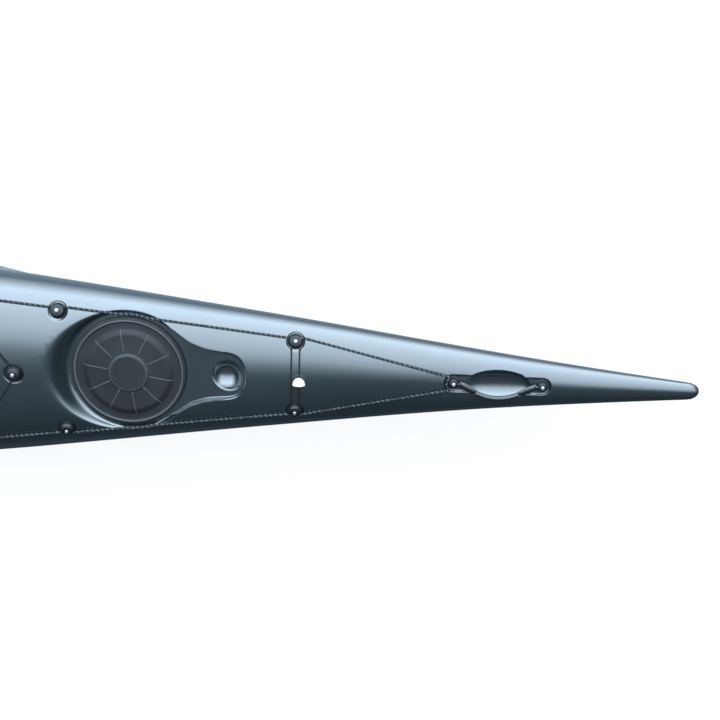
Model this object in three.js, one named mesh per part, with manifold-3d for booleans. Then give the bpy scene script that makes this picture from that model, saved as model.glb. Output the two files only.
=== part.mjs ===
// A sea kayak with rubber hatch covers, deck lines, carry handles, a drop skeg, and its seat and footrests.
// X runs forward to the bow, Y to port and Z up. The origin is amidships on the flat of the keel.
import * as THREE from 'three';
import { mergeVertices } from 'three/addons/utils/BufferGeometryUtils.js';
import Module from 'manifold-3d';

const wasm = await Module();
wasm.setup();

// Driving dimensions, in millimetres
const boatLength = 5100;
const beam = 560;
const deckTop = 345;
const hullWall = 5.5;
const deckWall = 5;
const fitGap = 0.4;
const overrun = 30;

// Places along the boat, as shares of its length from the bow
const frontHatchShare = 0.2653;
const dayHatchShare = 0.653;
const rearHatchShare = 0.772;
const cockpitShare = 0.505;
const frontBulkheadShare = 0.363;
const rearBulkheadShare = 0.7;
const footrestShare = 0.411;
const skegPivotShare = 0.837;
const sliderShare = 0.505;
const bowHandleShare = 0.0946;
const sternHandleShare = 0.9054;

// Colours and finishes
function finish(color, roughness, metalness = 0) {
  return new THREE.MeshStandardMaterial({ color, roughness, metalness });
}
const shellPlastic = finish(0x2f4654, 0.25);
const blackRubber = finish(0x1d1f21, 0.6);
const blackPlastic = finish(0x141517, 0.35);
const greyFoam = finish(0x3a3d40, 0.9);
const blackFabric = finish(0x1b1c1e, 0.85);
const fleckedCord = finish(0x22272b, 0.7);
const elasticCord = finish(0x15181a, 0.75);
const whitePlastic = finish(0xf2f4f3, 0.35);
const brightSteel = finish(0xc4c8ca, 0.25, 1);

// Lines of the hull and deck: rows of a place along the boat and a value, both as shares
const halfBeamShares = [
  [0, 0.068], [0.03, 0.122], [0.08, 0.221], [0.13, 0.336], [0.18, 0.462], [0.23, 0.583], [0.28, 0.705],
  [0.33, 0.818], [0.39, 0.918], [0.45, 0.981], [0.5, 1], [0.56, 0.984], [0.62, 0.927], [0.68, 0.838],
  [0.74, 0.72], [0.8, 0.575], [0.86, 0.42], [0.92, 0.262], [0.97, 0.135], [1, 0.068],
];
const sheerShares = [
  [0, 0.975], [0.07, 0.877], [0.11, 0.824], [0.18, 0.757], [0.25, 0.718], [0.31, 0.697], [0.39, 0.68],
  [0.5, 0.66], [0.6, 0.65], [0.7, 0.662], [0.78, 0.69], [0.86, 0.738], [0.93, 0.8], [1, 0.9],
];
const crownShares = [
  [0, 1], [0.07, 0.96], [0.11, 0.933], [0.18, 0.905], [0.25, 0.919], [0.31, 0.948], [0.37, 0.98],
  [0.42, 1], [0.5, 0.935], [0.585, 0.823], [0.62, 0.809], [0.7, 0.82], [0.78, 0.832], [0.86, 0.855],
  [0.93, 0.89], [1, 0.95],
];
const keelShares = [
  [0, 0.87], [0.004, 0.76], [0.012, 0.6], [0.03, 0.355], [0.06, 0.18], [0.1, 0.082], [0.16, 0.026],
  [0.24, 0.0035], [0.3, 0], [0.7, 0], [0.78, 0.007], [0.86, 0.035], [0.92, 0.093], [0.96, 0.205],
  [0.985, 0.38], [0.996, 0.6], [1, 0.77],
];
const crownPowerShares = [
  [0, 1.6], [0.2, 1.75], [0.28, 2], [0.35, 2.3], [0.42, 2.8], [0.58, 2.8], [0.66, 2.3], [0.8, 1.9],
  [1, 1.7],
];
const fullnessShares = [
  [0, 0], [0.08, 0.1], [0.2, 0.5], [0.32, 0.9], [0.38, 1], [0.62, 1], [0.7, 0.9], [0.8, 0.55],
  [0.92, 0.12], [1, 0],
];
const shoulderShare = 0.5;
// Half sections of the hull, keel to seam: shares of the half beam and of the height of the side
const fullSectionShares = [
  [0.3, 0], [0.62, 0.06], [0.82, 0.17], [0.92, 0.34], [0.965, 0.58], [0.99, 0.8], [0.995, 1],
];
const fineSectionShares = [
  [0.06, 0], [0.22, 0.15], [0.42, 0.35], [0.6, 0.55], [0.77, 0.74], [0.91, 0.9], [0.995, 1],
];
const deckStepShares = [1, 0.94, 0.8, 0.6, 0.32, 0];
const seamDrop = 13;
const tipRound = 22;
const tipBluntShare = 0.2;
const tipDropShare = 0.02;
const solidTip = 90;
const stationCount = 26;
const hatchSides = 20;

// A smooth curve through rows that never overshoots them
function curveThrough(rows) {
  const steps = rows.slice(1).map(([place], i) => place - rows[i][0]);
  const rises = steps.map((step, i) => (rows[i + 1][1] - rows[i][1]) / step);
  const slopes = rows.map((row, i) => {
    if (i === 0) return rises[0];
    if (i === rows.length - 1) return rises[i - 1];
    if (rises[i - 1] * rises[i] <= 0) return 0;
    return (2 * rises[i - 1] * rises[i]) / (rises[i - 1] + rises[i]);
  });
  return (place) => {
    const found = rows.findIndex(([end]) => end >= place);
    const i = Math.min(Math.max(found < 0 ? rows.length - 2 : found - 1, 0), rows.length - 2);
    const t = Math.min(Math.max((place - rows[i][0]) / steps[i], 0), 1);
    const [from, to] = [rows[i][1], rows[i + 1][1]];
    const leaving = slopes[i] * steps[i] - (to - from);
    const arriving = slopes[i + 1] * steps[i] - (to - from);
    return from + (to - from) * t + t * (1 - t) * ((1 - t) * leaving - t * arriving);
  };
}
const halfBeamCurve = curveThrough(halfBeamShares);
const sheerCurve = curveThrough(sheerShares);
const crownCurve = curveThrough(crownShares);
const keelCurve = curveThrough(keelShares);
const crownPowerAt = curveThrough(crownPowerShares);
const fullnessAt = curveThrough(fullnessShares);

const xAt = (share) => (0.5 - share) * boatLength;
const shareAt = (x) => Math.min(Math.max(0.5 - x / boatLength, 0), 1);
const tipRise = (share) => {
  const near = Math.min((Math.min(share, 1 - share) * boatLength) / tipRound, 1);
  return tipBluntShare + (1 - tipBluntShare) * Math.sqrt(1 - (1 - near) ** 2);
};
const halfBeamAt = (share) => (halfBeamCurve(share) * tipRise(share) * beam) / 2;
const sheerAt = (share) => sheerCurve(share) * deckTop;
const crownAt = (share) => (crownCurve(share) - tipDropShare * (1 - tipRise(share))) * deckTop;
const keelAt = (share) => keelCurve(share) * deckTop;
const seamAt = (share) => sheerAt(share) - seamDrop;

// Height of the deck's outer face over a point of the plan
function deckHeight(x, y) {
  const share = shareAt(x);
  const out = Math.min(Math.abs(y) / halfBeamAt(share), 1);
  const bow = (1 - out ** crownPowerAt(share)) ** shoulderShare;
  return sheerAt(share) + (crownAt(share) - sheerAt(share)) * bow;
}

// Solids

const mergeWithin = 1e-4;
const point = (x, y, z) => new THREE.Vector3(x, y, z);

function solid(geometry, place = new THREE.Matrix4()) {
  const loose = geometry.index ? geometry.toNonIndexed() : geometry.clone();
  const bare = new THREE.BufferGeometry().setAttribute('position', loose.getAttribute('position'));
  const merged = mergeVertices(bare.applyMatrix4(place), mergeWithin);
  const made = (triVerts) => {
    const vertProperties = merged.attributes.position.array;
    return new wasm.Manifold(new wasm.Mesh({ numProp: 3, vertProperties, triVerts }));
  };
  const faces = new Uint32Array(merged.index.array);
  const first = made(faces);
  return first.volume() < 0 ? made(faces.reverse()) : first;
}

function geometryOf(body) {
  const { numProp, numVert, vertProperties, triVerts } = body.getMesh();
  const positions = new Float32Array(numVert * 3);
  for (let i = 0; i < numVert; i++) {
    positions.set(vertProperties.subarray(i * numProp, i * numProp + 3), i * 3);
  }
  const geometry = new THREE.BufferGeometry();
  geometry.setAttribute('position', new THREE.BufferAttribute(positions, 3));
  geometry.setIndex(new THREE.BufferAttribute(triVerts, 1));
  const shaded = geometry.toNonIndexed();
  shaded.computeVertexNormals();
  return shaded;
}

// A closed body through rings of equal count, capped at both ends or closed round on itself
function loft(rings, closedRound = false) {
  const count = rings[0].length;
  const faces = [];
  const spans = closedRound ? rings.length : rings.length - 1;
  for (let i = 0; i < spans; i++) {
    const [near, far] = [i * count, ((i + 1) % rings.length) * count];
    for (let j = 0; j < count; j++) {
      const next = (j + 1) % count;
      faces.push(near + j, near + next, far + j, near + next, far + next, far + j);
    }
  }
  const last = (rings.length - 1) * count;
  // The ends are closed in a strip, from the first and last point of the ring inward
  for (let j = 0, k = count - 1; j + 1 < k && !closedRound; j++, k--) {
    faces.push(j, k, j + 1, last + j, last + j + 1, last + k);
    if (j + 1 < k - 1) faces.push(j + 1, k, k - 1, last + j + 1, last + k - 1, last + k);
  }
  const geometry = new THREE.BufferGeometry();
  const positions = rings.flat().flatMap((p) => [p.x, p.y, p.z]);
  geometry.setAttribute('position', new THREE.Float32BufferAttribute(positions, 3));
  geometry.setIndex(faces);
  return solid(geometry);
}

const block = (low, high) => solid(
  new THREE.BoxGeometry(high.x - low.x, high.y - low.y, high.z - low.z),
  new THREE.Matrix4().setPosition(low.clone().add(high).multiplyScalar(0.5)),
);

// The largest body of a cut that left slivers beside it
const largest = (body) => body.decompose().sort((p, q) => q.volume() - p.volume())[0];

const joined = (bodies) => bodies.slice(1).reduce((sum, body) => sum.add(body), bodies[0]);

// A round bar between two points
function bar(from, to, radius, sides = 8) {
  const along = to.clone().sub(from);
  const turn = new THREE.Quaternion().setFromUnitVectors(point(0, 1, 0), along.clone().normalize());
  const middle = from.clone().add(to).multiplyScalar(0.5);
  const place = new THREE.Matrix4().compose(middle, turn, point(1, 1, 1));
  return solid(new THREE.CylinderGeometry(radius, radius, along.length(), sides), place);
}

// A round tube along points, straight from point to point
function tube(points, radius, sides, closedRound = false) {
  const count = points.length;
  const across = (p, i) => {
    const before = points[closedRound ? (i + count - 1) % count : Math.max(i - 1, 0)];
    const after = points[closedRound ? (i + 1) % count : Math.min(i + 1, count - 1)];
    const along = after.clone().sub(before).normalize();
    const side = point(0, 0, 1).cross(along).normalize();
    const up = along.clone().cross(side);
    return Array.from({ length: sides }, (_, j) => {
      const angle = (2 * Math.PI * j) / sides;
      const [out, rise] = [radius * Math.cos(angle), radius * Math.sin(angle)];
      return p.clone().addScaledVector(side, out).addScaledVector(up, rise);
    });
  };
  return loft(points.map(across), closedRound);
}

// An outline in X and Z with its thickness across the boat, from y0 to y1
function plateAcross(outline, y0, y1) {
  const shape = new THREE.Shape(outline.map(([x, z]) => new THREE.Vector2(x, z)));
  const flat = new THREE.ExtrudeGeometry(shape, { depth: y1 - y0, bevelEnabled: false });
  return solid(flat, new THREE.Matrix4().makeRotationX(Math.PI / 2).setPosition(0, y1, 0));
}

// A plate whose two faces are grids of points, joined round their edges
function slab(rowsAbove, rowsBelow) {
  const rings = rowsAbove.map((row, i) => [...row, ...[...rowsBelow[i]].reverse()]);
  return loft(rings);
}

const steps = (count) => Array.from({ length: count + 1 }, (_, i) => i / count);
const mix = (from, to, share) => from + (to - from) * share;

const boat = new THREE.Group();
function add(name, body, material) {
  const mesh = new THREE.Mesh(geometryOf(body), material);
  mesh.name = name;
  boat.add(mesh);
}

// Hull and deck, drawn in by an inset for their inner faces

const stationShares = steps(stationCount).map((step) => (1 - Math.cos(Math.PI * step)) / 2);

function stationsFor(inset) {
  if (inset <= 0) return stationShares;
  const kept = stationShares.filter((share) => Math.min(share, 1 - share) * boatLength > solidTip);
  return [solidTip / boatLength, ...kept, 1 - solidTip / boatLength];
}

function deckRing(share, inset, extra) {
  const [half, x] = [halfBeamAt(share), xAt(share)];
  const drawn = half - inset;
  const side = deckStepShares.map((step) => [step * drawn, deckHeight(x, step * half) - inset]);
  const edge = [fullSectionShares.at(-1)[0] * drawn, seamAt(share) + fitGap / 2];
  side.unshift(edge);
  if (extra) side.unshift([edge[0], edge[1] - extra]);
  const port = side.map(([y, z]) => point(x, y, z));
  const starboard = side.slice(0, -1).reverse().map(([y, z]) => point(x, -y, z));
  return [...port, ...starboard];
}

function hullRing(share, inset, extra) {
  const [half, x, full] = [halfBeamAt(share), xAt(share), fullnessAt(share)];
  const [keel, seam] = [keelAt(share), seamAt(share) - fitGap / 2];
  const side = fullSectionShares.map(([y, z], i) => {
    const [fineY, fineZ] = fineSectionShares[i];
    return [mix(fineY, y, full) * (half - inset), keel + inset + mix(fineZ, z, full) * (seam - keel)];
  });
  side.at(-1)[1] = seam;
  if (extra) side.push([side.at(-1)[0], seam + extra]);
  const starboard = side.map(([y, z]) => point(x, -y, z)).reverse();
  return [...starboard, ...side.map(([y, z]) => point(x, y, z))];
}

function deckBody(inset, extra = 0) {
  return loft(stationsFor(inset).map((share) => deckRing(share, inset, extra)));
}
function hullBody(inset, extra = 0) {
  return loft(stationsFor(inset).map((share) => hullRing(share, inset, extra)));
}
// The room inside both shells, with a clearance to their walls
const innerInset = Math.max(hullWall, deckWall) + fitGap;
const insideShells = hullBody(innerInset, fitGap * 2).add(deckBody(innerInset, fitGap * 2));
const overDeck = deckBody(-fitGap, 0);

// Points of an oval round a centre, with its half length and half width
function oval(centre, halfLength, halfWidth, count = hatchSides) {
  return Array.from({ length: count }, (_, i) => {
    const angle = (2 * Math.PI * i) / count;
    return point(centre.x + halfLength * Math.cos(angle), centre.y + halfWidth * Math.sin(angle), centre.z);
  });
}

// Hatches: a moulded recess, a bonded rim and a rubber cover for each
const roundHatchRadius = 134;
const ovalHatchLength = 430;
const ovalHatchWidth = 250;
const frontHatchSunk = 32;
const dayHatchSunk = 18.1;
const rearHatchSunk = 24.5;
const coverOverlap = 12.4;
const rimWall = 9.4;
const rimRise = 5;
const rimFlange = 8;
const rimFlangeDepth = 4;
const recessMargin = 9;
const recessSlope = 6;
const recessDepth = 40;
const frontMoat = 26;

const roundHatch = { a: roundHatchRadius, b: roundHatchRadius };
const ovalHatch = { a: ovalHatchLength / 2, b: ovalHatchWidth / 2 };
const hatches = [
  { name: 'front', share: frontHatchShare, ...roundHatch, sunk: frontHatchSunk, moat: frontMoat },
  { name: 'day', share: dayHatchShare, ...roundHatch, sunk: dayHatchSunk, moat: 0 },
  { name: 'rear', share: rearHatchShare, ...ovalHatch, sunk: rearHatchSunk, moat: 0 },
];
hatches.forEach((hatch) => {
  hatch.centre = point(xAt(hatch.share), 0, crownAt(hatch.share) - hatch.sunk);
});

// Rings round a hatch, each a step inward from its edge and a step up from its floor
const ringsRound = ({ centre, a, b }, rows) => rows.map(([inward, up]) => {
  return oval(centre.clone().setZ(centre.z + up), a - inward, b - inward);
});

function hatchRecess({ centre, a, b, moat }, grow) {
  const [edge, brink] = [recessMargin + grow, recessMargin + grow + recessSlope];
  const low = oval(centre.clone().setZ(centre.z - grow), a + edge, b + edge);
  const high = oval(centre.clone().setZ(centre.z + recessDepth), a + brink, b + brink);
  high.forEach((p) => { p.x -= moat * Math.max(0, (centre.x - p.x) / a) ** 2; });
  return loft([low, high]);
}

function hatchHole({ centre, a, b }) {
  const [holeA, holeB] = [a - coverOverlap, b - coverOverlap];
  const low = centre.clone().setZ(centre.z - overrun);
  const high = centre.clone().setZ(centre.z + overrun);
  return loft([oval(low, holeA, holeB), oval(high, holeA, holeB)]);
}

function hatchRim(hatch) {
  const under = -deckWall - fitGap;
  return loft(ringsRound(hatch, [
    [coverOverlap + fitGap + rimWall, under - rimFlangeDepth],
    [coverOverlap + fitGap + rimWall, rimRise],
    [coverOverlap + fitGap, rimRise],
    [coverOverlap + fitGap, under],
    [coverOverlap - rimFlange, under],
    [coverOverlap - rimFlange, under - rimFlangeDepth],
  ]), true);
}

// Top of a cover: shares of the cover's half width, inward from its edge, and of its height
const coverHeight = 18.5;
const coverTopShares = [
  [0, 0.32], [0.019, 0.5], [0.067, 0.585], [0.112, 0.465], [0.216, 0.465], [0.306, 0.785],
  [0.65, 0.785], [0.68, 1],
];
const coverPlugDepth = 4;
const coverPlugWall = 8;
const coverDishShare = 0.46;
const coverDishInset = 12;
const ribCount = 10;
const ribAngle = 0.262;
const ribWidth = 2.6;
const ribRise = 2.2;
const tabAngle = 3.42;
const tabReach = 5;
const tabWidth = 30;
const tabThickness = 5;

function coverRib({ centre, a, b }, angle) {
  const rows = coverTopShares.slice(4, 7).map(([inward, up]) => [inward * b, up * coverHeight]);
  const sides = rows.map(([inward, up]) => {
    const middle = point(centre.x + (a - inward) * Math.cos(angle), (b - inward) * Math.sin(angle), 0);
    const across = point(-Math.sin(angle), Math.cos(angle), 0).multiplyScalar(ribWidth / 2);
    const [low, high] = [centre.z + up - ribRise / 2, centre.z + up + ribRise];
    return [
      middle.clone().sub(across).setZ(low), middle.clone().add(across).setZ(low),
      middle.clone().add(across).setZ(high), middle.clone().sub(across).setZ(high),
    ];
  });
  return loft(sides);
}

function hatchCover(hatch) {
  const { centre, a, b } = hatch;
  const plugOuter = coverOverlap + 2 * fitGap + rimWall;
  const rows = [
    [plugOuter + coverPlugWall + coverDishInset, coverDishShare * coverHeight],
    [plugOuter + coverPlugWall, -coverPlugDepth],
    [plugOuter, -coverPlugDepth],
    [plugOuter, rimRise + fitGap],
    [coverOverlap, rimRise + fitGap],
    [coverOverlap, fitGap],
    [0, fitGap],
    ...coverTopShares.map(([inward, up]) => [inward * b, up * coverHeight]),
  ];
  const turns = Array.from({ length: ribCount }, (_, i) => ribAngle + (2 * Math.PI * i) / ribCount);
  const ribs = turns.map((turn) => coverRib(hatch, turn));
  const edge = point(centre.x + a * Math.cos(tabAngle), b * Math.sin(tabAngle), 0);
  const tab = block(point(-tabReach, -tabWidth / 2, 0), point(tabReach, tabWidth / 2, tabThickness));
  const turn = (Math.atan2(Math.sin(tabAngle) / b, Math.cos(tabAngle) / a) * 180) / Math.PI;
  const placed = tab.rotate([0, 0, turn]).translate([edge.x, edge.y, centre.z + fitGap]);
  return joined([loft(ringsRound(hatch, rows)), ...ribs, placed]);
}

// Compass recess ahead of the front hatch: its plan in shares of its reach and its half width
const compassReach = 278;
const compassHalfWidth = 60;
const compassForeSunk = 5.5;
const compassDish = 37;
const compassDishDepth = 12;
const compassDishShare = 0.824;
const compassSlope = 14;
const compassEdge = 5;
const compassPlanShares = [
  [0.3, 1.95], [0.375, 1.85], [0.44, 1.62], [0.525, 1.33], [0.655, 1.1], [0.78, 1.01], [0.867, 0.96],
  [0.925, 0.86], [0.965, 0.62], [0.99, 0.35],
];

const compassFloor = (x) => {
  const hatch = hatches[0];
  const [from, to] = [hatch.centre.x + hatch.a + recessMargin, hatch.centre.x + compassReach];
  const fore = deckHeight(to, 0) - compassForeSunk;
  return mix(hatch.centre.z, fore, Math.max(0, (x - from) / (to - from)));
};

function compassRecess(grow) {
  const start = hatches[0].centre.x;
  const ringAt = (out, up) => {
    const port = compassPlanShares.map(([along, wide]) => {
      const x = start + along * (compassReach + out);
      return point(x, wide * compassHalfWidth + out, compassFloor(x) + up);
    });
    return [...port, ...port.map((p) => point(p.x, -p.y, p.z)).reverse()];
  };
  return loft([ringAt(grow - compassEdge, -grow), ringAt(grow + compassSlope, recessDepth)]);
}

function compassBowl(grow) {
  const curve = (compassDish ** 2 + compassDishDepth ** 2) / (2 * compassDishDepth);
  const x = hatches[0].centre.x + compassDishShare * compassReach;
  const ball = new THREE.SphereGeometry(curve + grow, 12, 12);
  const middle = point(x, 0, compassFloor(x) + curve - compassDishDepth);
  const cap = block(
    point(x - curve, -curve, middle.z - 2 * curve),
    point(x + curve, curve, compassFloor(x) + compassDishDepth - grow / 2),
  );
  return solid(ball, new THREE.Matrix4().setPosition(middle)).intersect(cap);
}

// Seats moulded in the deck, flat and square to it, for fittings and tracks
const slopeStep = 1;
const seatDepth = 2.5;
const seatClearance = 1.5;

function deckFrame(x, y, sunk = seatDepth) {
  const riseX = deckHeight(x + slopeStep, y) - deckHeight(x - slopeStep, y);
  const riseY = deckHeight(x, y + slopeStep) - deckHeight(x, y - slopeStep);
  const alongX = point(2 * slopeStep, 0, riseX).normalize();
  const alongY = point(0, 2 * slopeStep, riseY).normalize();
  const normal = alongX.clone().cross(alongY).normalize();
  const side = normal.clone().cross(alongX).normalize();
  const origin = point(x, y, deckHeight(x, y)).addScaledVector(normal, -sunk);
  return new THREE.Matrix4().makeBasis(alongX, side, normal).setPosition(origin);
}

// Deck fittings: a low round dome with a pan-head screw; the lines and bungees run through it
const fittingRadius = 18.5;
const fittingHeight = 12;
const fittingSides = 8;
const fittingSeatSides = 10;
const screwHead = 5;
const screwHeadHeight = 2.6;
const screwShank = 2;
const screwLength = 24;
const fittingProfileShares = [[1, 0], [1, 0.34], [0.78, 0.82], [0.42, 1]];
const lineRadius = 2.5;
const lineLift = 1.6;
const lineOut = 8;
const bungeeRadius = 2;
const bungeeLift = 2;
const bungeeSpread = 9.5;
const bungeeTurn = 6.5;

// Places of the fittings: shares of the boat's length from the bow, and of its half beam out to the side
const fittingShares = {
  front: [0.295, 0.7065],
  bow: [0.1888, 0.6462],
  foredeck: [0.336, 0.7148],
  cockpit: [0.414, 0.7346],
  reardeck: [0.615, 0.6738],
  stern: [0.715, 0.7304],
};
const centreFittingShare = 0.3151;
const screwedFittings = ['front', 'bow', 'foredeck_centre'];

function fittingAt(name, share, y) {
  const screwed = screwedFittings.some((start) => name.startsWith(start));
  return { name, y, screwed, frame: deckFrame(xAt(share), y) };
}
const fittings = [
  fittingAt('foredeck_centre', centreFittingShare, 0),
  ...Object.entries(fittingShares).flatMap(([name, [share, out]]) => {
    const y = out * halfBeamAt(share);
    return [fittingAt(`${name}_port`, share, y), fittingAt(`${name}_starboard`, share, -y)];
  }),
];
const fittingNamed = (name) => fittings.find((fitting) => fitting.name === name);
const inFrame = (frame, x, y, z) => point(x, y, z).applyMatrix4(frame);

const fittingSeat = ({ frame }) => bar(
  inFrame(frame, 0, 0, 0), inFrame(frame, 0, 0, overrun), fittingRadius + seatClearance, fittingSeatSides,
);

function domeOn(frame, radius, height) {
  const rows = fittingProfileShares.map(([r, h]) => new THREE.Vector2(r * radius, fitGap + h * height));
  const profile = [new THREE.Vector2(0, fitGap), ...rows, new THREE.Vector2(0, fitGap + height)];
  const lathe = new THREE.LatheGeometry(profile, fittingSides);
  return solid(lathe, frame.clone().multiply(new THREE.Matrix4().makeRotationX(Math.PI / 2)));
}

const panHead = (frame, top, sunk = 0) => bar(
  inFrame(frame, 0, 0, top - sunk), inFrame(frame, 0, 0, top + screwHeadHeight), screwHead, 6,
);

function screw(frame, top) {
  const [tip, under] = [inFrame(frame, 0, 0, top - screwLength), inFrame(frame, 0, 0, top + fitGap)];
  return panHead(frame, top).add(bar(tip, under, screwShank, 6));
}

const screwHole = (frame) => bar(
  inFrame(frame, 0, 0, -screwLength), inFrame(frame, 0, 0, overrun), screwShank + fitGap, 6,
);

// Carry handles: a grip on a strap, swinging between two screwed caps in a moulded scoop
const capSpacing = 211;
const capRadius = 14.5;
const capHeight = 13;
const slotLength = 253;
const slotWidth = 41;
const slotDepth = 6;
const scoopLength = 158;
const scoopWidth = 76;
const scoopDepth = 24;
const scoopLift = 3;
const trunnionRadius = 3.6;
const trunnionInset = 6;
const pivotHeight = 8;
const gripRadius = 5.5;
const gripLength = 104;
const gripReach = 32;
const gripEndShare = 0.62;
const strapWidthShares = [0.78, 1, 0.85, 0.55];
const gripDrop = 2;
const strapWidth = 19;
const strapThickness = 3;
const gripSides = 8;

function handleSet(share, forward) {
  const x = xAt(share);
  const inner = deckFrame(x - forward * capSpacing / 2, 0, slotDepth);
  const outer = deckFrame(x + forward * capSpacing / 2, 0, slotDepth);
  const innerPivot = inFrame(inner, 0, 0, fitGap + pivotHeight);
  const outerPivot = inFrame(outer, 0, 0, fitGap + pivotHeight);
  return { x, forward, inner, outer, innerPivot, outerPivot };
}
const handles = { bow: handleSet(bowHandleShare, 1), stern: handleSet(sternHandleShare, -1) };

function handleSlot({ inner, outer }, grow) {
  const reach = slotLength / 2 - slotWidth / 2;
  const [from, to] = [inFrame(inner, 0, 0, 0), inFrame(outer, 0, 0, 0)];
  const centre = from.clone().add(to).multiplyScalar(0.5);
  const along = to.clone().sub(from).normalize();
  const corners = steps(4).map((step) => (step - 0.5) * Math.PI);
  const ringAt = (up) => [1, -1].flatMap((end) => corners.map((angle) => {
    const radius = slotWidth / 2 + grow;
    const p = centre.clone().addScaledVector(along, end * (reach + radius * Math.cos(angle)));
    p.y = end * radius * Math.sin(angle);
    p.z += up;
    return p;
  }));
  return loft([ringAt(-grow), ringAt(overrun)]);
}

function handleScoop({ x }, grow) {
  const [halfLong, halfWide] = [scoopLength / 2 + grow, scoopWidth / 2 + grow];
  const middle = point(x, 0, deckHeight(x, 0) + scoopLift);
  const place = new THREE.Matrix4().makeScale(halfLong, halfWide, scoopDepth + grow).setPosition(middle);
  return solid(new THREE.SphereGeometry(1, 14, 6), place);
}

function handleCap(frame) {
  return domeOn(frame, capRadius, capHeight).add(panHead(frame, fitGap + capHeight, fitGap));
}

// The strap and grip lie over to starboard; the trunnions at both ends turn in the caps
function handleBody({ innerPivot, outerPivot }) {
  const along = outerPivot.clone().sub(innerPivot).normalize();
  const trunnion = (pivot, way) => bar(
    pivot.clone().addScaledVector(along, way * trunnionInset),
    pivot.clone().addScaledVector(along, way * (capRadius + strapThickness + 2 * fitGap)),
    trunnionRadius,
  );
  const centre = innerPivot.clone().add(outerPivot).multiplyScalar(0.5);
  const at = (share, reach) => {
    const p = centre.clone().addScaledVector(along, share);
    return p.add(point(0, -reach, -(gripDrop * reach) / gripReach));
  };
  const arc = steps(6).map((step) => {
    const place = (step - 0.5) * gripLength;
    const bow = 1 - (2 * step - 1) ** 2;
    return at(place, mix(gripReach * gripEndShare, gripReach, bow));
  });
  const grip = tube(arc, gripRadius, gripSides);
  const strap = (pivot, way) => {
    const start = pivot.clone().addScaledVector(along, way * (capRadius + 2 * fitGap));
    const end = arc.at(way > 0 ? 0 : -1).clone().addScaledVector(along, way * strapThickness);
    const half = point(0, strapWidth / 2, 0);
    const rise = point(0, 0, strapThickness / 2);
    const sectionAt = (p, wide) => [
      p.clone().addScaledVector(half, -wide).sub(rise), p.clone().addScaledVector(half, wide).sub(rise),
      p.clone().addScaledVector(half, wide).add(rise), p.clone().addScaledVector(half, -wide).add(rise),
    ];
    return loft(strapWidthShares.map((wide, i) => {
      return sectionAt(start.clone().lerp(end, i / (strapWidthShares.length - 1)), wide);
    }));
  };
  const ends = [[innerPivot, 1], [outerPivot, -1]];
  return joined([grip, ...ends.flatMap(([pivot, way]) => [strap(pivot, way), trunnion(pivot, way)])]);
}

// Cockpit: an egg-shaped opening with a lipped coaming round it
const cockpitLength = 800;
const cockpitWidth = 390;
const cockpitEggShare = 0.22;
const coamingWall = 7;
const coamingLip = 25;
const coamingLipDepth = 6;
const coamingFrontRise = 27;
const coamingBackRise = 22;
const coamingSides = 24;
const coamingSkirt = 60;
const cockpitCut = 120;

function cockpitPoint(angle, out) {
  const x = xAt(cockpitShare) + (cockpitLength / 2 + out) * Math.cos(angle);
  const egg = 1 - cockpitEggShare * Math.cos(angle);
  return [x, ((cockpitWidth / 2) * egg + out) * Math.sin(angle)];
}
const coamingTop = (x) => {
  const [front, back] = [cockpitPoint(0, 0)[0], cockpitBack];
  const [high, low] = [deckHeight(front, 0) + coamingFrontRise, deckHeight(back, 0) + coamingBackRise];
  return mix(low, high, (x - back) / (front - back));
};
const cockpitBack = cockpitPoint(Math.PI, 0)[0];
const cockpitRing = (out, up) => Array.from({ length: coamingSides }, (_, i) => {
  const [x, y] = cockpitPoint((2 * Math.PI * i) / coamingSides, out);
  return point(x, y, coamingTop(x) + up);
});
const cockpitHole = () => loft([cockpitRing(0, -cockpitCut), cockpitRing(0, overrun)]);

function coaming() {
  const section = [
    [0, -coamingSkirt], [0, -fitGap], [fitGap, 0],
    [coamingLip, -coamingLipDepth / 2], [coamingLip, -coamingLipDepth],
    [coamingLip - coamingLipDepth / 2, -coamingLipDepth],
    [coamingWall, -coamingLipDepth], [coamingWall, -coamingSkirt],
  ];
  return loft(section.map(([out, up]) => cockpitRing(out, up)), true).subtract(overDeck);
}

// Deck shell, with every recess walled at the deck's own thickness
function deckShell() {
  const recesses = (grow) => joined([
    ...hatches.map((hatch) => hatchRecess(hatch, grow)),
    compassRecess(grow), compassBowl(grow),
    ...Object.values(handles).flatMap((handle) => [handleSlot(handle, grow), handleScoop(handle, grow)]),
  ]);
  const outside = deckBody(0).subtract(recesses(0));
  const inside = deckBody(deckWall, overrun).subtract(recesses(deckWall));
  const holes = [
    ...hatches.map(hatchHole), cockpitHole(),
    ...fittings.map(fittingSeat),
    ...fittings.filter(({ screwed }) => screwed).map(({ frame }) => screwHole(frame)),
    sliderSeat(), cableHole(),
  ];
  return outside.subtract(inside).subtract(joined(holes));
}

// Bulkheads fill the section of the boat between the shells
const bulkheadThickness = 12;
const dayBulkheadBehind = 84.5;
const cableRadius = 3;
function bulkhead(x) {
  const slice = block(point(x, -beam, -overrun), point(x + bulkheadThickness, beam, deckTop + overrun));
  return insideShells.intersect(slice).subtract(cable(cableRadius + fitGap));
}

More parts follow.
